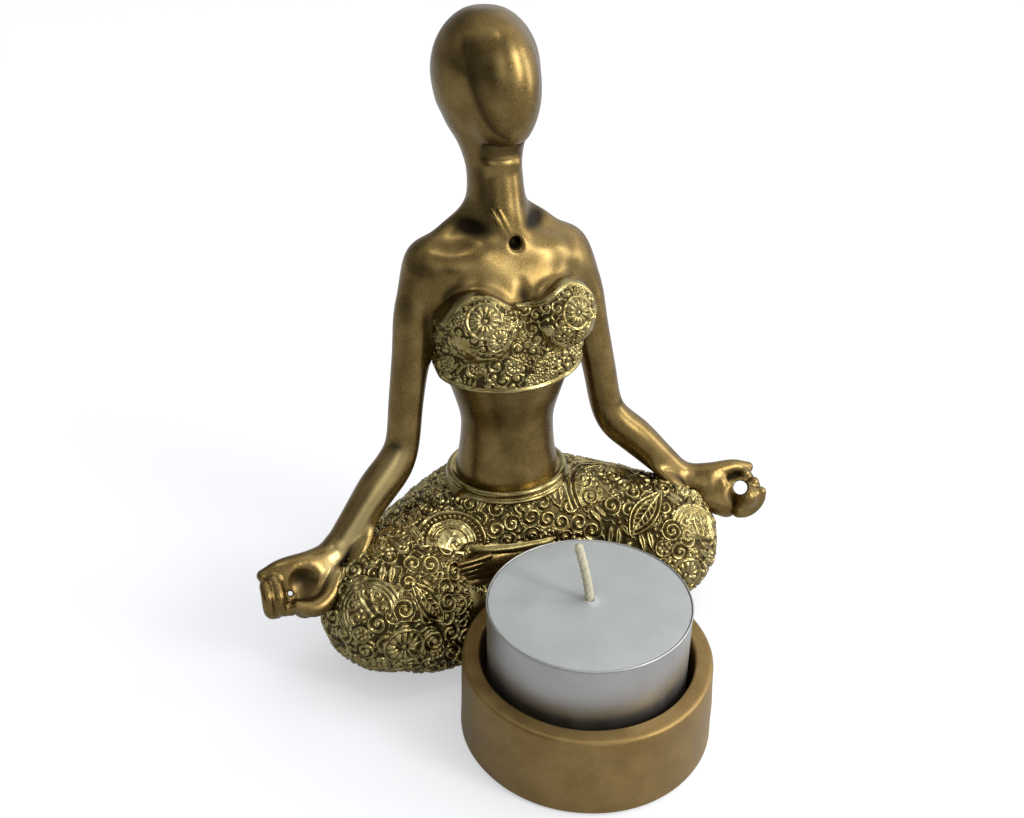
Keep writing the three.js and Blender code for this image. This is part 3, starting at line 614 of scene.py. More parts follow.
def fan(a, b, size):
    """A big arch of plain lines that holds leaf veins and curls."""
    radius = np.hypot(a, b)
    lines = [(1, 0.6), (0.86, 0.5), (0.74, 0.45)]
    made = highest(*(raised(radius - size * share, half) for share, half in lines))
    middle = raised(a + 0.10 * size * np.sin(b / size * 3), 0.55)
    beads = raised(np.hypot((b / 1.3 - np.floor(b / 1.3) - 0.5) * 1.3, np.abs(a) - 1.45), 0.55)
    curls = [spiral(a - x * size, b - y * size, 0.24 * size, hand, 1.15) for x, y, hand in FAN_CURLS]
    return np.where(radius < size * 0.69, highest(middle, beads, 0.22, *curls), made)


def big_leaf(a, b, size):
    """A leaf with a double outline, a vein along its middle and slanting ribs."""
    share = unit(b / size * 0.5 + 0.5)
    half = 0.42 * size * np.sin(math.pi * share**0.85) + 1e-3
    outline = raised(np.abs(a) - half, 0.42)
    inner_line = 0.9 * raised(np.abs(a) - half + 0.95, 0.32)
    ribs = raised(((b + 0.8 * np.abs(a)) / 1.25 % 1 - 0.5) * 1.25, 0.4) * (np.abs(a) < half - 1.1)
    vein = raised(a, 0.4) * (np.abs(b) < 0.9 * size)
    return np.where(np.abs(a) < half + 0.5, highest(outline, inner_line, 0.85 * ribs, vein), np.nan)


def crescent(a, b, size):
    """A smooth raised crescent, open at the top."""
    edge = 0.16 * size - np.abs(np.hypot(a, b) - 0.84 * size)
    return np.where((edge > 0) & (b < 0.1 * size), unit(0.6 + 1.2 * edge), np.nan)


# How each motif is drawn, how far it reaches and how low it goes, as shares of its size
MOTIFS = {
    "crescent": (crescent, 1.0, -1.1),
    "arch": (arch, 1.08, -0.18),
    "fan": (fan, 1.06, -0.22),
    "rosette": (lambda a, b, size: rosette(a, b, size, 13), 1.02, -1.1),
    "small_rosette": (lambda a, b, size: rosette(a, b, size, 8), 1.02, -1.1),
    "curl": (lambda a, b, size: spiral(a, b, size, 1, 1.05), 1.0, -1.1),
    "back_curl": (lambda a, b, size: spiral(a, b, size, -1, 1.05), 1.0, -1.1),
    "big_leaf": (big_leaf, 1.0, -1.1),
}


def tangents(normals, ups):
    """Two unit directions along the surface, the second as near to up as can be."""
    upward = ups - (ups * normals).sum(axis=-1, keepdims=True) * normals
    upward = upward / np.maximum(np.linalg.norm(upward, axis=-1, keepdims=True), 1e-6)
    return np.cross(upward, normals), upward


def scattered(points, allowed, spacing, seed):
    """Numbers of vertices picked in a seeded order so that none is nearer than spacing to another."""
    order = np.random.default_rng(seed).permutation(np.flatnonzero(allowed))[:70000]
    cells = np.floor(points / spacing).astype(int)
    taken, chosen = {}, []
    around = [(i, j, k) for i in (-1, 0, 1) for j in (-1, 0, 1) for k in (-1, 0, 1)]
    for index in order:
        x, y, z = cells[index]
        px, py, pz = points[index]
        near = (other for i, j, k in around for other in taken.get((x + i, y + j, z + k), ()))
        if all((px - a) ** 2 + (py - b) ** 2 + (pz - c) ** 2 > spacing**2 for a, b, c in near):
            taken.setdefault((x, y, z), []).append((px, py, pz))
            chosen.append(index)
    return np.array(chosen)


def nearest(points, centres):
    """Number of the nearest centre to each point, and its distance."""
    tree = KDTree(len(centres))
    for index, centre in enumerate(centres):
        tree.insert(centre, index)
    tree.balance()
    found = [tree.find(point) for point in points.tolist()]
    return np.array([one[1] for one in found]), np.array([one[2] for one in found])


def filler(points, normals, allowed, spacing, seed):
    """Small scrolls, flowers and leaves all over, with beads in the gaps between them."""
    picked = scattered(points, allowed, spacing, seed)
    rng = np.random.default_rng(seed + 1)
    size = spacing * rng.uniform(0.5, 0.66, len(picked))
    kind = rng.integers(0, 5, len(picked))
    phase = rng.uniform(0, 1, len(picked))
    side, upward = tangents(normals[picked], rng.normal(size=(len(picked), 3)))
    part = np.flatnonzero(allowed)
    own, _ = nearest(points[part], points[picked])
    offset = points[part] - points[picked][own]
    a, b = (offset * side[own]).sum(axis=1), (offset * upward[own]).sum(axis=1)
    radius, size, kind, phase = np.hypot(a, b), size[own], kind[own], phase[own]
    hand = np.where(kind == 0, 1, -1)
    pair = np.maximum(leaf(a - 0.4 * size, b, size, 0.42 * size), leaf(a + 0.4 * size, b, size, 0.42 * size))
    made = spiral(a, b, size, hand, 1.3, phase)
    made = np.where(kind == 3, rosette(a, b, size, 6), made)
    made = np.where(kind == 4, pair, made)
    relief = np.zeros(len(points))
    relief[part] = np.where(radius < size, made, 0)
    gaps = part[radius > size + 0.12]
    free = np.zeros(len(points), bool)
    free[gaps] = True
    beads = scattered(points, free, 0.34 * spacing, seed + 2)
    _, to_bead = nearest(points[gaps], points[beads])
    beaded = raised(to_bead, 0.17 * spacing)
    strands = 0.9 * raised(np.abs(unevenness(points[gaps], 1.5)), 0.16)
    relief[gaps] = np.where(unevenness(points[gaps], 5.0) > 0.12, beaded, strands)
    return relief


def unevenness(points, size):
    """Smooth noise from about -1 to 1 at points, with lumps of about the given size."""
    return np.array([noise.noise(place) for place in (points / size).tolist()])


def embossed(points, normals, allowed, motifs, spacing, seed):
    """Relief of a cloth, from 0 in its ground to 1 on its crests."""
    relief = filler(points, normals, allowed, spacing, seed)
    for name, centre, upward, size in motifs:
        draw, reach, lowest = MOTIFS[name]
        centre = np.array(centre, float)
        near = np.flatnonzero(((points - centre) ** 2).sum(axis=1) < (1.15 * reach * size) ** 2)
        anchor = near[np.argmin(((points[near] - centre) ** 2).sum(axis=1))]
        core = near[((points[near] - points[anchor]) ** 2).sum(axis=1) < (0.5 * size) ** 2]
        normal = normals[core].mean(axis=0)
        normal = normal / np.linalg.norm(normal)
        side, up = tangents(normal, np.array(upward, float))
        offset = points[near] - points[anchor]
        a, b = offset @ side, offset @ up
        inside = (np.hypot(a, b) < reach * size) & (b > lowest * size) & (normals[near] @ normal > 0.1)
        made = draw(a[inside], b[inside], size)
        relief[near[inside]] = np.where(np.isnan(made), relief[near[inside]], made)
    return relief


def fine_surface(field):
    """A field's surface with quads half as wide as its grid: vertices, quads and normals."""
    points, quads = surface_of(field)
    points = settled(field, points, quads)
    points, quads = subdivided(points, quads)
    points = settled(field, points, quads, 1)
    return points, quads, vertex_normals(points, quads)


def cast_cloth(name, surface, patterned, border, motifs, spacing, seed, height, sink, lumps):
    """Embossed cloth of a surface. Its pattern covers what is patterned, and border is its look elsewhere.

    The relief stands up by height from a ground that lies lower by sink, and lumps are two rows of how high
    and how wide the casting is uneven.
    """
    points, quads, normals = surface
    relief = embossed(points, normals, patterned > 0.5, motifs, spacing, seed)
    relief = relief * patterned
    (high, wide), (low, narrow) = lumps
    cast = patterned * (high * unevenness(points, wide) + low * unevenness(points, narrow))
    points = points + normals * (height * relief - sink * patterned + cast)[:, None]
    shown = relief * patterned + (1 - patterned) * border
    return mesh_object(name, points, quads, {"relief": shown, "crease_and_painted_shade": hollows(points, quads, normals, 30)})


# Trousers

SETBACK = 41.5
HEM_LINE = [
    (-15.5, 30.8, 25.4, 0.8), (-11.5, 28.2, 23.4, 1.0), (-6, 27.5, 22.4, 1.05),
    (0, 27.5, 22.0, 1.0), (4.4, 27.9, 21.9, 0.8), (7.2, 29.8, 22.6, 0.25),
]
# Height, setback, half width, depth in front and depth behind
HIPS = [
    (-3, SETBACK, 16.5, 9, 13.2),
    (1.0, SETBACK, 18.4, 10.5, 14.8),
    (6, SETBACK, 20.2, 12, 16.6),
    (18, SETBACK, 20.4, 12, 17.4),
    (25.5, SETBACK, 17.6, 13.2, 15.8),
    (29.5, SETBACK, 14.3, 12.2, 13.0),
    (32.0, SETBACK, 12.5, 11.4, 11.6),
    (38, SETBACK, 12.0, 11.0, 11.1),
]
LAP = [(-14, 37.7, 20.2, 10.6), (0, 37.6, 20.2, 10.6), (14, 37.7, 20.2, 10.6)]
THIGH = [(7.8, 45.0, 17.4, 13.4), (19, 37.8, 15.9, 13.4), (30.0, 30.2, 14.2, 13.3)]
SHIN = [(29.6, 29.8, 13.4, 12.7), (19.8, 28.0, 9.3, 10.7), (11.5, 31.6, 7.0, 6.9), (0, 34.2, 7.0, 6)]
TROUSERS_CAST = {"spacing": 3.4, "seed": 5, "height": 0.5, "sink": 0.14, "lumps": ((0.3, 2.8), (0.14, 1.0))}
# Kind, centre, direction that is up and size of each motif
TROUSERS_MOTIFS = [
    ("arch", (-16.8, 28.0, 26.2), (0.43, 0.66, 0.61), 7.0),
    ("fan", (18.6, 31.4, 29.0), (-0.1, 0.9, 0.3), 9.2),
    ("fan", (-27.6, 30.0, 28.0), (-0.2, 0.8, 0.5), 5.4),
    ("curl", (-18.8, 36.2, 29.8), (0, 1, 0), 1.9),
    ("back_curl", (-10.6, 34.2, 30.0), (0, 1, 0), 1.7),
    ("rosette", (-24.4, 35.8, 29.2), (0, 1, 0), 2.6),
    ("rosette", (-30.4, 16.9, 13.0), (0, 0, 1), 4.2),
    ("rosette", (30.4, 16.9, 13.0), (0, 0, 1), 4.2),
    ("fan", (33.5, 21.5, 20.0), (0.2, 0.5, 0.8), 6.0),
    ("fan", (-35.5, 21.5, 20.0), (-0.2, 0.5, 0.8), 6.0),
    ("big_leaf", (24.6, 24.6, 26.4), (0.75, 0.55, 0.1), 6.0),
    ("big_leaf", (-24.6, 19.6, 20.4), (-0.5, 0.5, 0.6), 5.2),
    ("curl", (-29.6, 18.4, 20.8), (0, 0.5, 1), 2.3),
    ("back_curl", (-20.6, 20.6, 18.2), (0, 0.5, 1), 2.2),
    ("curl", (-24.6, 17.6, 12.6), (0, 0.5, 1), 2.3),
    ("back_curl", (28.2, 19.6, 23.4), (0, 0.5, 1), 2.2),
]


def waist_ring(height, radius, grow=0.0):
    """A rolled edge round the waist."""
    wide, deep = 11.9 + grow, 11.1 + grow

    def distance(x, y, z):
        section = (np.sqrt((x / wide) ** 2 + ((y - SETBACK) / deep) ** 2) - 1) * deep
        return np.sqrt(section**2 + (z - height) ** 2) - radius

    low = (-wide - 2, SETBACK - deep - 2, height - 2)
    return Shape(distance, low, (wide + 2, SETBACK + deep + 2, height + 2))


def block(low, high):
    """A box between two corners."""
    middle, half = (np.array(low) + np.array(high)) / 2, (np.array(high) - np.array(low)) / 2

    def distance(x, y, z):
        gaps = [np.abs(value - middle[i]) - half[i] for i, value in enumerate((x, y, z))]
        return np.maximum(np.maximum(gaps[0], gaps[1]), gaps[2])

    return Shape(distance, low, high)


def trousers_field():
    """Hips, lap and crossed legs, with a recess for the feet and a round one for the cup."""
    cloth = Field((-45, 15, -1.2), (45, 60.5, 36), FINE)
    cloth.join(column(HIPS))
    cloth.join(limb(LAP), 2.5)
    cloth.cut(block((-17.5, 10, -5), (5.5, 30.4, 22.6)), 1.0)
    cloth.cut(block((3.0, 10, -5), (17.5, 30.4, 15.5)), 1.0)
    for side in (-1, 1):
        cloth.join(limb(sided(side, THIGH)), 1.4)
        cloth.join(limb(sided(side, SHIN)), 0.9)
    cloth.join(limb(HEM_LINE), 0.35)
    below_ground = block((-60, 0, -20), (60, 80, 0.12))
    cloth.cut(below_ground, 0.6)
    above_waist = block((-30, 20, 33.5), (30, 70, 60))
    cloth.cut(above_waist)
    cloth.join(waist_ring(32.95, 0.75), 0.1)
    cloth.join(waist_ring(31.35, 0.45, 0.55), 0.1)
    cloth.cut(column([(-5, 0, 24.0, 24.0, 24.0), (30, 0, 23.9, 23.9, 23.9)]))
    return cloth


def build_trousers():
    """Trousers, patterned between the ground and the waistband except at the hem, the feet and the cup."""
    surface = fine_surface(trousers_field())
    points, _, normals = surface
    x, y, z = points.T
    hem = limb(HEM_LINE).distance(x, y, z)
    from_candle = np.hypot(x, y)
    patterned = unit((31.2 - z + 0.02 * np.abs(x)) / 0.4) * unit((z - 1.2) / 0.8)
    patterned *= unit((hem - 0.25) / 0.3)
    recess = (x > -15) & (x < 5.5) & (y < 31.4) & (z < 23.4) & (hem > 0) & (from_candle < 34)
    patterned *= np.where(recess & (normals[:, 1] < -0.4), 0, 1)
    patterned *= unit((from_candle - 24.6) / 0.5)
    border = np.where(z > 29, 0.42, 0.24)
    trousers = cast_cloth("embossed_trousers", surface, patterned, border, TROUSERS_MOTIFS, **TROUSERS_CAST)
    trousers.data.materials.append(embossed_paint())
    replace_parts(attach(trousers, "casting"), "trousers")


# Bodice

# Distance from the middle and height
NECKLINE_KNOTS = [
    (0, 71.8), (2.8, 72.5), (6.4, 74.7), (9.3, 75.4), (12.2, 74.3), (14.2, 72.0), (15.8, 69.8),
    (19, 69.3),
]
NECKLINE = curve_through(NECKLINE_KNOTS, 60)
NECKLINE_TILT = 0.12
BODICE_HEM = 59.0
BODICE_PATTERN_FOOT = 59.6
BODICE_HEM_TILT = 0.26
BODICE_CAST = {"spacing": 2.1, "seed": 11, "height": 0.38, "sink": 0.12, "lumps": ((0.26, 2.4), (0.13, 0.9))}
BAND_FLOWERS = 12
BODICE_MOTIFS = [
    ("crescent", (-7.8, 27.6, 68.8), (0, 0, 1), 6.2),
    ("crescent", (8.4, 27.6, 68.6), (0, 0, 1), 5.6),
    ("rosette", (-9.2, 28.0, 73.3), (0, 0, 1), 3.5),
    ("rosette", (-6.6, 27.6, 68.9), (0, 0, 1), 2.5),
    ("rosette", (9.4, 27.6, 72.0), (0, 0, 1), 3.3),
    ("small_rosette", (6.4, 28.2, 67.6), (0, 0, 1), 2.2),
]


def bodice_field():
    """The chest that the bodice lies on."""
    chest = Field((-18.5, 24, 54), (18.5, 54, 80), 0.26)
    chest.join(column(TRUNK))
    for side in (-1, 1):
        chest.join(ball((side * BREAST_X, BREAST_Y, BREAST_Z), (6.7, 7.5, 6.5)), 0.8)
    return chest


def above_neckline(x, y, z):
    """How far a place lies above the neckline, measured across the line."""
    slope = np.clip(np.gradient(NECKLINE[:, 1], NECKLINE[:, 0]), -0.6, 0.6)
    height = np.interp(np.abs(x), NECKLINE[:, 0], NECKLINE[:, 1]) + NECKLINE_TILT * (SETBACK - y)
    front = (z - height) / np.sqrt(1 + np.interp(np.abs(x), NECKLINE[:, 0], slope) ** 2)
    rear = z - 69.4 - 0.05 * (y - SETBACK)
    share = unit((y - 40) / 3)
    return front * (1 - share) + rear * share


def build_bodice():
    """A strapless bodice between a rolled neckline and a rolled hem, with a row of flowers above the hem."""
    chest = bodice_field()
    axes = [chest.low[i] + chest.step * np.arange(n) for i, n in enumerate(chest.values.shape)]
    x, y, z = np.meshgrid(*axes, indexing="ij", sparse=True)
    skin = chest.values
    above = above_neckline(x, y, z)
    below = (BODICE_HEM + BODICE_HEM_TILT * (y - SETBACK)) - z
    cloth = np.maximum(skin - 1.0, -1.2 - skin)
    cloth = -smooth_min(-cloth, -above, 0.5)
    cloth = -smooth_min(-cloth, -below, 0.4)
    neck_roll = np.sqrt((skin - 0.78) ** 2 + (above + 0.05) ** 2) - 0.48
    hem_roll = np.sqrt((skin - 1.0) ** 2 + (below + 0.1) ** 2) - 0.42
    cloth = smooth_min(np.minimum(cloth, hem_roll), neck_roll, 0.12)
    chest.values = cloth.astype(np.float32)
    surface = fine_surface(chest)
    x, y, z = surface[0].T
    patterned = unit((-above_neckline(x, y, z) - 0.6) / 0.2)
    patterned *= unit((z - (BODICE_PATTERN_FOOT + BODICE_HEM_TILT * (y - SETBACK))) / 0.25)
    band = []
    for index in range(BAND_FLOWERS):
        turn = (index + 0.65) / BAND_FLOWERS * 2 * math.pi
        place = (15 * math.sin(turn), 40 - 10.4 * math.cos(turn), 61.4)
        band.append(("small_rosette", place, (0, 0, 1), 1.75))
    bodice = cast_cloth("embossed_bodice", surface, patterned, 0.36, BODICE_MOTIFS + band, **BODICE_CAST)
    bodice.data.materials.append(bpy.data.materials["embossed_paint"])
    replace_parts(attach(bodice, "casting"), "bodice")


# Turned pieces

def arc(radius, centre_r, centre_z, start, end, steps=6):
    """Points of a round corner of a profile, between two angles in degrees."""
    turns = np.radians(np.linspace(start, end, steps + 1))
    return [(centre_r + radius * math.cos(t), centre_z + radius * math.sin(t)) for t in turns]


def turned(name, profile, segments, wobble, closed=False):
    """A turned piece. Its profile of radius and height starts and ends on the axis unless it is closed."""
    points, faces, rings = [], [], []
    for r, z in profile:
        if r < 1e-6:
            rings.append([len(points)])
            points.append((0, 0, z))
            continue
        rings.append(list(range(len(points), len(points) + segments)))
        for index in range(segments):
            turn = 2 * math.pi * index / segments
            out, up = wobble(turn, r, z)
            points.append(((r + out) * math.cos(turn), (r + out) * math.sin(turn), z + up))
    if closed:
        rings.append(rings[0])
    for low, high in zip(rings[:-1], rings[1:]):
        for index in range(segments):
            after = (index + 1) % segments
            below = (low[index % len(low)], low[after % len(low)])
            above = (high[after % len(high)], high[index % len(high)])
            faces.append(list(dict.fromkeys(below + above)))
    return faced_object(name, points, faces)


def build_cup():
    """The cup, with a rounded rim and a small step under its foot."""
    profile = [(0, 0.25), (20.5, 0.25), (20.8, 0), *arc(0.7, 23.1, 0.7, -90, 0), (23.72, 4), (23.6, 8)]
    profile += [(23.45, 12), *arc(0.85, 22.45, 15.75, 0, 90), *arc(0.5, 20.5, 16.1, 90, 180), (20.0, 12), (20.0, 8)]
    profile += [*arc(0.8, 19.2, 4.8, 0, -90), (10, 4.0), (0, 4.0)]

    def wobble(turn, r, z):
        if r < 19:
            return 0, 0
        out = 0.045 * math.sin(3 * turn + 0.4 * z) + 0.03 * math.sin(7 * turn - 0.9 * z)
        return out, 0.03 * math.sin(4 * turn)

    cup = turned("cast_cup", profile, 192, wobble)
    cup.data.materials.append(cup_paint())
    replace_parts(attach(cup, "casting"), "candle_cup")


def build_shell():
    """A drawn aluminium shell with a small bead round its rim."""
    floor, rim, wall = 4.3, 28.3, 18.65
    profile = [(0, floor + 0.35), (12, floor + 0.35), (12.8, floor), *arc(1.6, 17.05, floor + 1.6, -90, 0)]
    profile += [(wall, z) for z in (10, 16, 22, 26.4, rim - 0.5, rim - 0.36)]
    profile += [*arc(0.17, 18.62, rim - 0.18, -10, 150, 8), (18.44, rim - 0.5), (18.42, rim - 0.7)]
    profile += [(18.38, 20), (18.27, 12), *arc(1.2, 17.05, floor + 1.6, 0, -90), (0, floor + 0.7)]

    def ripple(turn, r, z):
        if r < 17.5 or z > rim - 1:
            return 0, 0
        share = min(1, (rim - 1 - z) / 3)
        waves = 0.03 * math.sin(2 * turn + 1) + 0.018 * math.sin(5 * turn + 0.15 * z)
        return share * (waves + 0.008 * math.sin(23 * turn)), 0

    shell = turned("drawn_shell", profile, 192, ripple)
    shell.data.materials.append(aluminium())
    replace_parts(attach(shell, "candle_shell"), "tealight_shell")


def build_wax():
    """The wax fill, with a hole for the wick and room for the sustainer."""
    top, hole = 28.2, 0.88
    profile = [(6.9, 5.05), *arc(1.4, 16.5, 6.45, -90, 0), (18.2, 16), (18.33, 25)]
    profile += [*arc(0.1, 18.26, top - 0.1, 0, 90)]
    profile += [(17.0, top + 0.04), (14, top), (9, top - 0.03), (4, top), (2.2, top + 0.06), (1.4, top + 0.2)]
    profile += [(1.0, top + 0.36), (hole, top + 0.4), (hole, 8.8), (2.0, 8.8), (2.0, 5.8), (6.9, 5.8)]

    def uneven(turn, r, z):
        if z < 20 or r > 17.7:
            return 0, 0
        return 0, 0.03 * math.sin(2 * turn + r * 0.3) + 0.02 * math.sin(5 * turn - r * 0.7)

    wax = turned("poured_wax", profile, 160, uneven, closed=True)
    wax.data.materials.append(paraffin())
    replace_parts(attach(wax, "candle_wax"), "tealight_wax")


def build_wick():
    """A braid of three strands, straight through the wax and then leaning back."""
    line = curve_through([(0, 0, 5.8), (0, 0, 16), (0, 0, 27.9), (-0.42, 0.8, 33.2), (-1.4, 2.6, 39.3)], 110)
    sides = 30
    points, faces = [], []
    for index, centre in enumerate(line):
        way = line[min(index + 1, len(line) - 1)] - line[max(index - 1, 0)]
        way = way / np.linalg.norm(way)
        across = np.cross(way, (0, 1, 0))
        across = across / np.linalg.norm(across)
        deep = np.cross(way, across)
        end = min(1, (len(line) - 0.5 - index) / 3)
        for side in range(sides):
            turn = 2 * math.pi * side / sides
            strand = abs(math.cos(1.5 * turn - index * 0.42)) ** 0.6
            radius = (0.66 + 0.14 * strand) * (0.55 + 0.45 * end)
            points.append(centre + radius * (1.05 * math.cos(turn) * across + 0.85 * math.sin(turn) * deep))
    for index in range(len(line) - 1):
        for side in range(sides):
            after = (side + 1) % sides
            low, high = index * sides, (index + 1) * sides
            faces.append((low + side, low + after, high + after, high + side))
    faces.append(tuple(reversed(range(sides))))
    faces.append(tuple(range((len(line) - 1) * sides, len(line) * sides)))
    wick = faced_object("braided_wick", points, faces)
    wick.data.materials.append(cotton())
    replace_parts(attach(wick, "candle_wax"), "wick")
    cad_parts["wick_sustainer"].data.materials.clear()
    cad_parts["wick_sustainer"].data.materials.append(tinned_steel())


# Materials

def math_node(tree, operation, *values):
    """Result of a math node, from numbers or sockets."""
    node = tree.nodes.new("ShaderNodeMath")
    node.operation = operation
    for socket, value in zip(node.inputs, values):
        if isinstance(value, (int, float)):
            socket.default_value = value
        else:
            tree.links.new(value, socket)
    return node.outputs[0]


class Paint:
    """A material, with short calls to add nodes to it."""

    def __init__(self, name):
        self.material = bpy.data.materials.new(name)
        self.material.use_nodes = True
        self.tree = self.material.node_tree
        self.shader = self.tree.nodes["Principled BSDF"]
        self.place = self.add("ShaderNodeTexCoord").outputs["Object"]

    def add(self, kind, **values):
        node = self.tree.nodes.new(kind)
        for key, value in values.items():
            setattr(node, key, value)
        return node

    def link(self, source, target):
        self.tree.links.new(source, target)

    def noise(self, scale, detail, stretch=None):
        node = self.add("ShaderNodeTexNoise")
        node.inputs["Scale"].default_value = scale
        node.inputs["Detail"].default_value = detail
        place = self.place
        if stretch:
            mapping = self.add("ShaderNodeMapping")
            mapping.inputs["Scale"].default_value = stretch
            self.link(place, mapping.inputs["Vector"])
            place = mapping.outputs["Vector"]
        self.link(place, node.inputs["Vector"])
        return node.outputs["Fac"]

    def attribute(self, name):
        return self.add("ShaderNodeAttribute", attribute_name=name).outputs["Fac"]

    def span(self, value, low, high, to_low=0.0, to_high=1.0):
        """The value between low and high, smoothly, as a value between to_low and to_high."""
        node = self.add("ShaderNodeMapRange", interpolation_type="SMOOTHSTEP")
        for key, number in (("From Min", low), ("From Max", high), ("To Min", to_low), ("To Max", to_high)):
            node.inputs[key].default_value = number
        self.link(value, node.inputs["Value"])
        return node.outputs["Result"]

    def math(self, operation, first, second):
        return math_node(self.tree, operation, first, second)

    def mix(self, share, first, second):
        node = self.add("ShaderNodeMix", data_type="RGBA")
        self.link(share, node.inputs["Factor"])
        for socket, value in ((node.inputs[6], first), (node.inputs[7], second)):
            if isinstance(value, tuple):
                socket.default_value = (*value, 1)
            else:
                self.link(value, socket)
        return node.outputs[2]

    def bump(self, height, strength, distance):
        node = self.add("ShaderNodeBump")
        node.inputs["Strength"].default_value = strength
        node.inputs["Distance"].default_value = distance
        self.link(height, node.inputs["Height"])
        self.link(node.outputs["Normal"], self.shader.inputs["Normal"])

    def set(self, **values):
        for key, value in values.items():
            socket = self.shader.inputs[key.replace("_", " ")]
            if isinstance(value, bpy.types.NodeSocket):
                self.link(value, socket)
            elif isinstance(value, tuple):
                socket.default_value = (*value, 1)
            else:
                socket.default_value = value


def skin_paint():
    """Satin gold paint over bronze, darker in the creases and with painted shade on the face's edge, under the chin
    and in the neck, chest and elbow hollows, a painted highlight along the right forearm, and a fine metal grain.
    """
    paint = Paint("skin_paint")
    cloudy = paint.noise(260, 4)
    grain = paint.noise(5200, 2)
    worn = paint.mix(paint.span(cloudy, 0.38, 0.66), (0.138, 0.089, 0.028), (0.198, 0.135, 0.048))
    bright = paint.mix(paint.span(grain, 0.5, 0.75), worn, (0.26, 0.19, 0.07))
    # Painted highlight along the right forearm
    bright = paint.mix(paint.math("MULTIPLY", paint.attribute("painted_highlight"), 0.75), bright, (0.46, 0.36, 0.16))
    # Darker in the creases and where shade is painted, and rougher there
    dark = paint.span(paint.attribute("crease_and_painted_shade"), 0.05, 0.42)
    colour = paint.mix(dark, bright, (0.014, 0.009, 0.004))
    roughness = paint.math("ADD", paint.span(grain, 0.3, 0.7, 0.25, 0.33), paint.math("MULTIPLY", dark, 0.2))
    paint.set(Base_Color=colour, Metallic=0.95, Roughness=roughness)
    paint.bump(grain, 0.06, 0.00003)
    return paint.material


def embossed_paint():
    """Bright gold on the relief, dark antiquing in its ground."""
    paint = Paint("embossed_paint")
    relief = paint.attribute("relief")
    cloudy = paint.noise(420, 4)
    grain = paint.noise(6000, 2)
    gold = paint.mix(paint.span(cloudy, 0.35, 0.68), (0.24, 0.185, 0.065), (0.35, 0.29, 0.125))
    gold = paint.mix(paint.span(grain, 0.55, 0.8), gold, (0.50, 0.43, 0.23))
    ground = paint.span(paint.math("ADD", relief, paint.math("MULTIPLY", cloudy, 0.25)), 0.12, 0.62)
    colour = paint.mix(ground, (0.052, 0.038, 0.014), gold)
    roughness = paint.span(ground, 0, 1, 0.42, 0.17)
    paint.set(Base_Color=colour, Metallic=1.0, Roughness=roughness)
    paint.bump(grain, 0.1, 0.00003)
    return paint.material


def cup_paint():
    """Matt gold-brown paint, a little cloudy, with casting specks."""
    paint = Paint("cup_paint")
    cloudy = paint.noise(190, 5)
    grain = paint.noise(4200, 3)
    colour = paint.mix(paint.span(cloudy, 0.35, 0.68), (0.215, 0.136, 0.043), (0.27, 0.18, 0.064))
    colour = paint.mix(paint.span(grain, 0.62, 0.72), colour, (0.31, 0.235, 0.12))
    colour = paint.mix(paint.span(grain, 0.36, 0.28), colour, (0.10, 0.062, 0.026))
    paint.set(Base_Color=colour, Metallic=0.8, Roughness=paint.span(cloudy, 0.3, 0.7, 0.4, 0.52))
    paint.bump(grain, 0.2, 0.00004)
    return paint.material


def aluminium():
    """Drawn sheet with faint upright streaks."""
    paint = Paint("aluminium_sheet")
    streaks = paint.noise(1400, 2, (1, 1, 0.03))
    blots = paint.noise(160, 3)
    colour = paint.mix(paint.span(blots, 0.3, 0.7), (0.40, 0.40, 0.394), (0.44, 0.44, 0.43))
    paint.set(Base_Color=colour, Metallic=1.0, Roughness=paint.span(streaks, 0.3, 0.7, 0.36, 0.42))
    paint.bump(streaks, 0.04, 0.00002)
    return paint.material


def paraffin():
    """Cool white wax that light enters a little, with a faint bloom."""
    paint = Paint("paraffin_wax")
    bloom = paint.noise(150, 4)
    grain = paint.noise(2600, 2)
    colour = paint.mix(paint.span(bloom, 0.35, 0.7), (0.335, 0.352, 0.343), (0.37, 0.387, 0.377))
    paint.set(Base_Color=colour, Roughness=paint.span(bloom, 0.3, 0.7, 0.42, 0.55))
    paint.shader.inputs["Subsurface Weight"].default_value = 0.25
    paint.shader.inputs["Subsurface Radius"].default_value = (1.0, 0.9, 0.8)
    paint.shader.inputs["Subsurface Scale"].default_value = 0.0025
    paint.bump(grain, 0.08, 0.00003)
    return paint.material


def cotton():
    """Waxed cotton."""
    paint = Paint("waxed_cotton")
    fibres = paint.noise(5200, 4, (1, 1, 0.35))
    colour = paint.mix(paint.span(fibres, 0.3, 0.7), (0.37, 0.345, 0.235), (0.50, 0.47, 0.34))
    paint.set(Base_Color=colour, Roughness=0.72)
    paint.bump(fibres, 0.5, 0.00006)
    return paint.material


def tinned_steel():
    """Bright tinned sheet with faint streaks."""
    paint = Paint("tinned_steel")
    streaks = paint.noise(900, 3, (1, 0.05, 1))
    colour = paint.mix(paint.span(streaks, 0.3, 0.7), (0.52, 0.52, 0.51), (0.68, 0.68, 0.67))
    paint.set(Base_Color=colour, Metallic=1.0, Roughness=paint.span(streaks, 0.3, 0.7, 0.26, 0.4))
    paint.bump(streaks, 0.1, 0.00003)
    return paint.material


# Stage

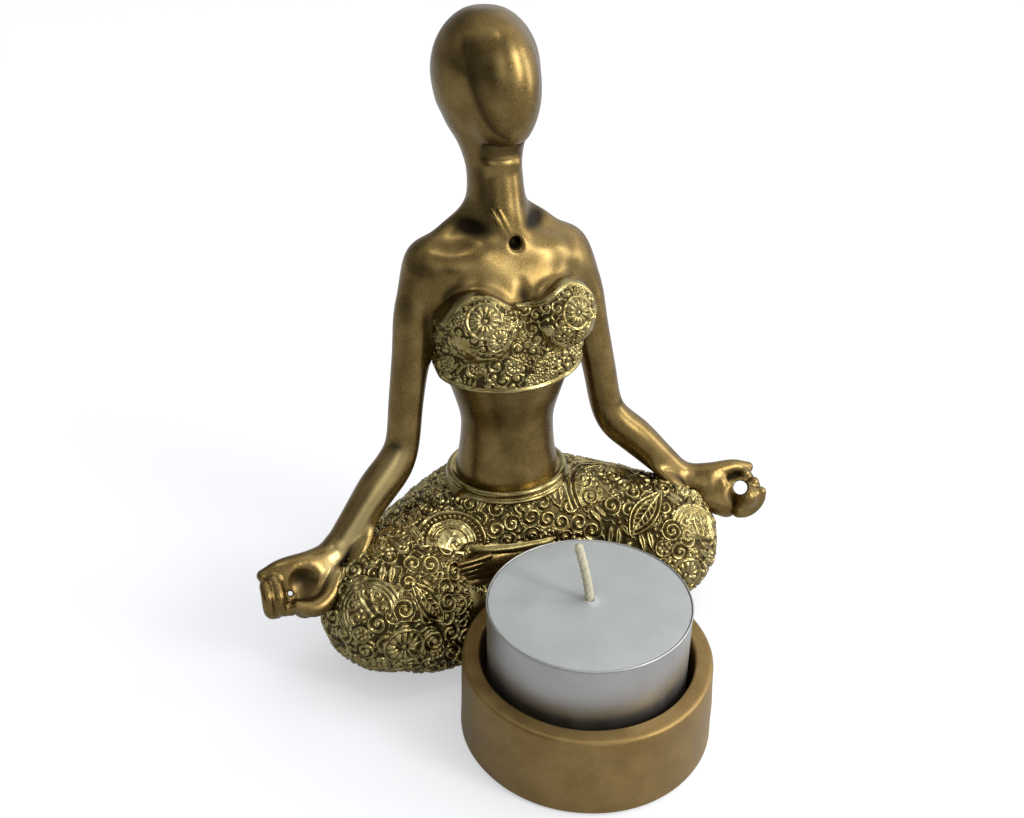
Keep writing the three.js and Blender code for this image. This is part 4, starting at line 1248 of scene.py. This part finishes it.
def build_floor():
    """A pale floor of 6 m square, just below the object, as bright as the room where the camera sees it."""
    mesh = bpy.data.meshes.new("studio_floor")
    half, below = 3.0, 0.0002
    corners = [(-half, -half, 0), (half, -half, 0), (half, half, 0), (-half, half, 0)]
    mesh.from_pydata(corners, [], [(0, 1, 2, 3)])
    floor = linked("studio_floor", mesh)
    floor.location.z = -below
    paint = Paint("floor_paper")
    paint.set(Base_Color=(0.50, 0.505, 0.515), Roughness=0.9)
    paint.shader.inputs["Emission Color"].default_value = (0.97, 0.98, 1.0, 1)
    light = paint.add("ShaderNodeLightPath")
    mirrored = paint.math("MULTIPLY", light.outputs["Is Glossy Ray"], 0.25)
    seen = paint.math("MAXIMUM", light.outputs["Is Camera Ray"], mirrored)
    seen = paint.math("MAXIMUM", seen, light.outputs["Is Transmission Ray"])
    paint.link(paint.math("MULTIPLY", seen, 0.46), paint.shader.inputs["Emission Strength"])
    mesh.materials.append(paint.material)


def area_light(name, direction, distance, size, power, colour=(1, 1, 1)):
    """A rectangular lamp that shines on the lower half of the figure from a direction."""
    data = bpy.data.lights.new(name, "AREA")
    data.shape = "RECTANGLE"
    data.size, data.size_y = size
    data.energy = power
    data.color = colour
    lamp = linked(name, data)
    aim = Vector((0.0, 0.025, 0.05))
    way = Vector(direction).normalized()
    lamp.location = aim + way * distance
    lamp.rotation_mode = "QUATERNION"
    lamp.rotation_quaternion = way.to_track_quat("Z", "Y")


# Light of the room between its soft patches
ROOM_GLOW = 0.04
# Soft patches of light round the room: azimuth from the front towards the right, height, strength and
# spread, with the angles in degrees
ROOM_LIGHTS = [
    (-10, 12, 0.5, 16), (30, 12, 1.2, 20), (70, 12, 1.5, 20), (110, 12, 0.9, 20),
    (150, 12, 0.6, 20), (-130, 12, 0.35, 20), (-170, 12, 0.35, 20), (45, 42, 0.6, 20),
    (90, 42, 1.2, 20), (135, 42, 0.7, 20), (-30, 44, 0.9, 12), (34, 18, 1.8, 7), (36, 38, 6.0, 8),
    (-19, 27, 1.9, 10), (-90, 42, 0.4, 20), (90, 72, 1.2, 20), (180, 72, 0.3, 20),
    (-90, 72, 0.5, 20),
]


def toward(azimuth, height):
    """Unit direction from an azimuth, counted from the front towards the right, and a height, in degrees."""
    turn, rise = math.radians(azimuth), math.radians(height)
    return Vector((math.sin(turn) * math.cos(rise), -math.cos(turn) * math.cos(rise), math.sin(rise)))


def build_world():
    """A dim room with soft patches of light, and white where the camera looks past the object."""
    world = bpy.data.worlds.new("studio")
    bpy.context.scene.world = world
    world.use_nodes = True
    tree = world.node_tree
    tree.nodes.clear()
    place = tree.nodes.new("ShaderNodeTexCoord").outputs["Generated"]
    total = ROOM_GLOW
    for azimuth, height, strength, spread in ROOM_LIGHTS:
        dot = tree.nodes.new("ShaderNodeVectorMath")
        dot.operation = "DOT_PRODUCT"
        tree.links.new(place, dot.inputs[0])
        dot.inputs[1].default_value = toward(azimuth, height)
        sharpness = math.log(2) / (1 - math.cos(math.radians(spread)))
        fall = math_node(tree, "MULTIPLY", math_node(tree, "SUBTRACT", dot.outputs["Value"], 1), sharpness)
        light = math_node(tree, "MULTIPLY", math_node(tree, "EXPONENT", fall), strength)
        total = math_node(tree, "ADD", light, total)
    seen = tree.nodes.new("ShaderNodeLightPath").outputs["Is Camera Ray"]
    room = math_node(tree, "MULTIPLY", total, math_node(tree, "SUBTRACT", 1, seen))
    background = tree.nodes.new("ShaderNodeBackground")
    background.inputs["Color"].default_value = (0.97, 0.98, 1.0, 1)
    tree.links.new(math_node(tree, "ADD", room, seen), background.inputs["Strength"])
    output = tree.nodes.new("ShaderNodeOutputWorld")
    tree.links.new(background.outputs[0], output.inputs["Surface"])


def build_camera():
    """The camera of the photo, solved from the candle, the cup and the ground."""
    data = bpy.data.cameras.new("photo_camera")
    data.lens = 38.67
    data.sensor_width = 36
    data.clip_start = 0.01
    camera = linked("photo_camera", data)
    turn = toward(-21.386, 29.042).to_track_quat("Z", "Y").to_matrix().to_4x4()
    camera.matrix_world = Matrix.Translation(Vector((-0.07035, -0.14126, 0.15513))) @ turn
    bpy.context.scene.camera = camera


build_figure()
build_foot("left_foot_skin", "left_foot", -1, 19.0)
build_foot("right_foot_skin", "right_foot", 1, 7.5)
build_trousers()
build_bodice()
build_cup()
build_shell()
build_wax()
build_wick()
build_floor()
WARM_WHITE = (1.0, 0.985, 0.96)
area_light("key_window", toward(38, 27), 0.8, (0.15, 0.40), 2.1, WARM_WHITE)
area_light("right_window", toward(72, 17), 0.8, (0.16, 0.6), 1.7, WARM_WHITE)
area_light("overhead", (-0.14, -0.1, 0.99), 0.7, (0.07, 0.07), 0.22)
build_world()
bpy.context.scene.view_settings.view_transform = "Standard"
build_camera()
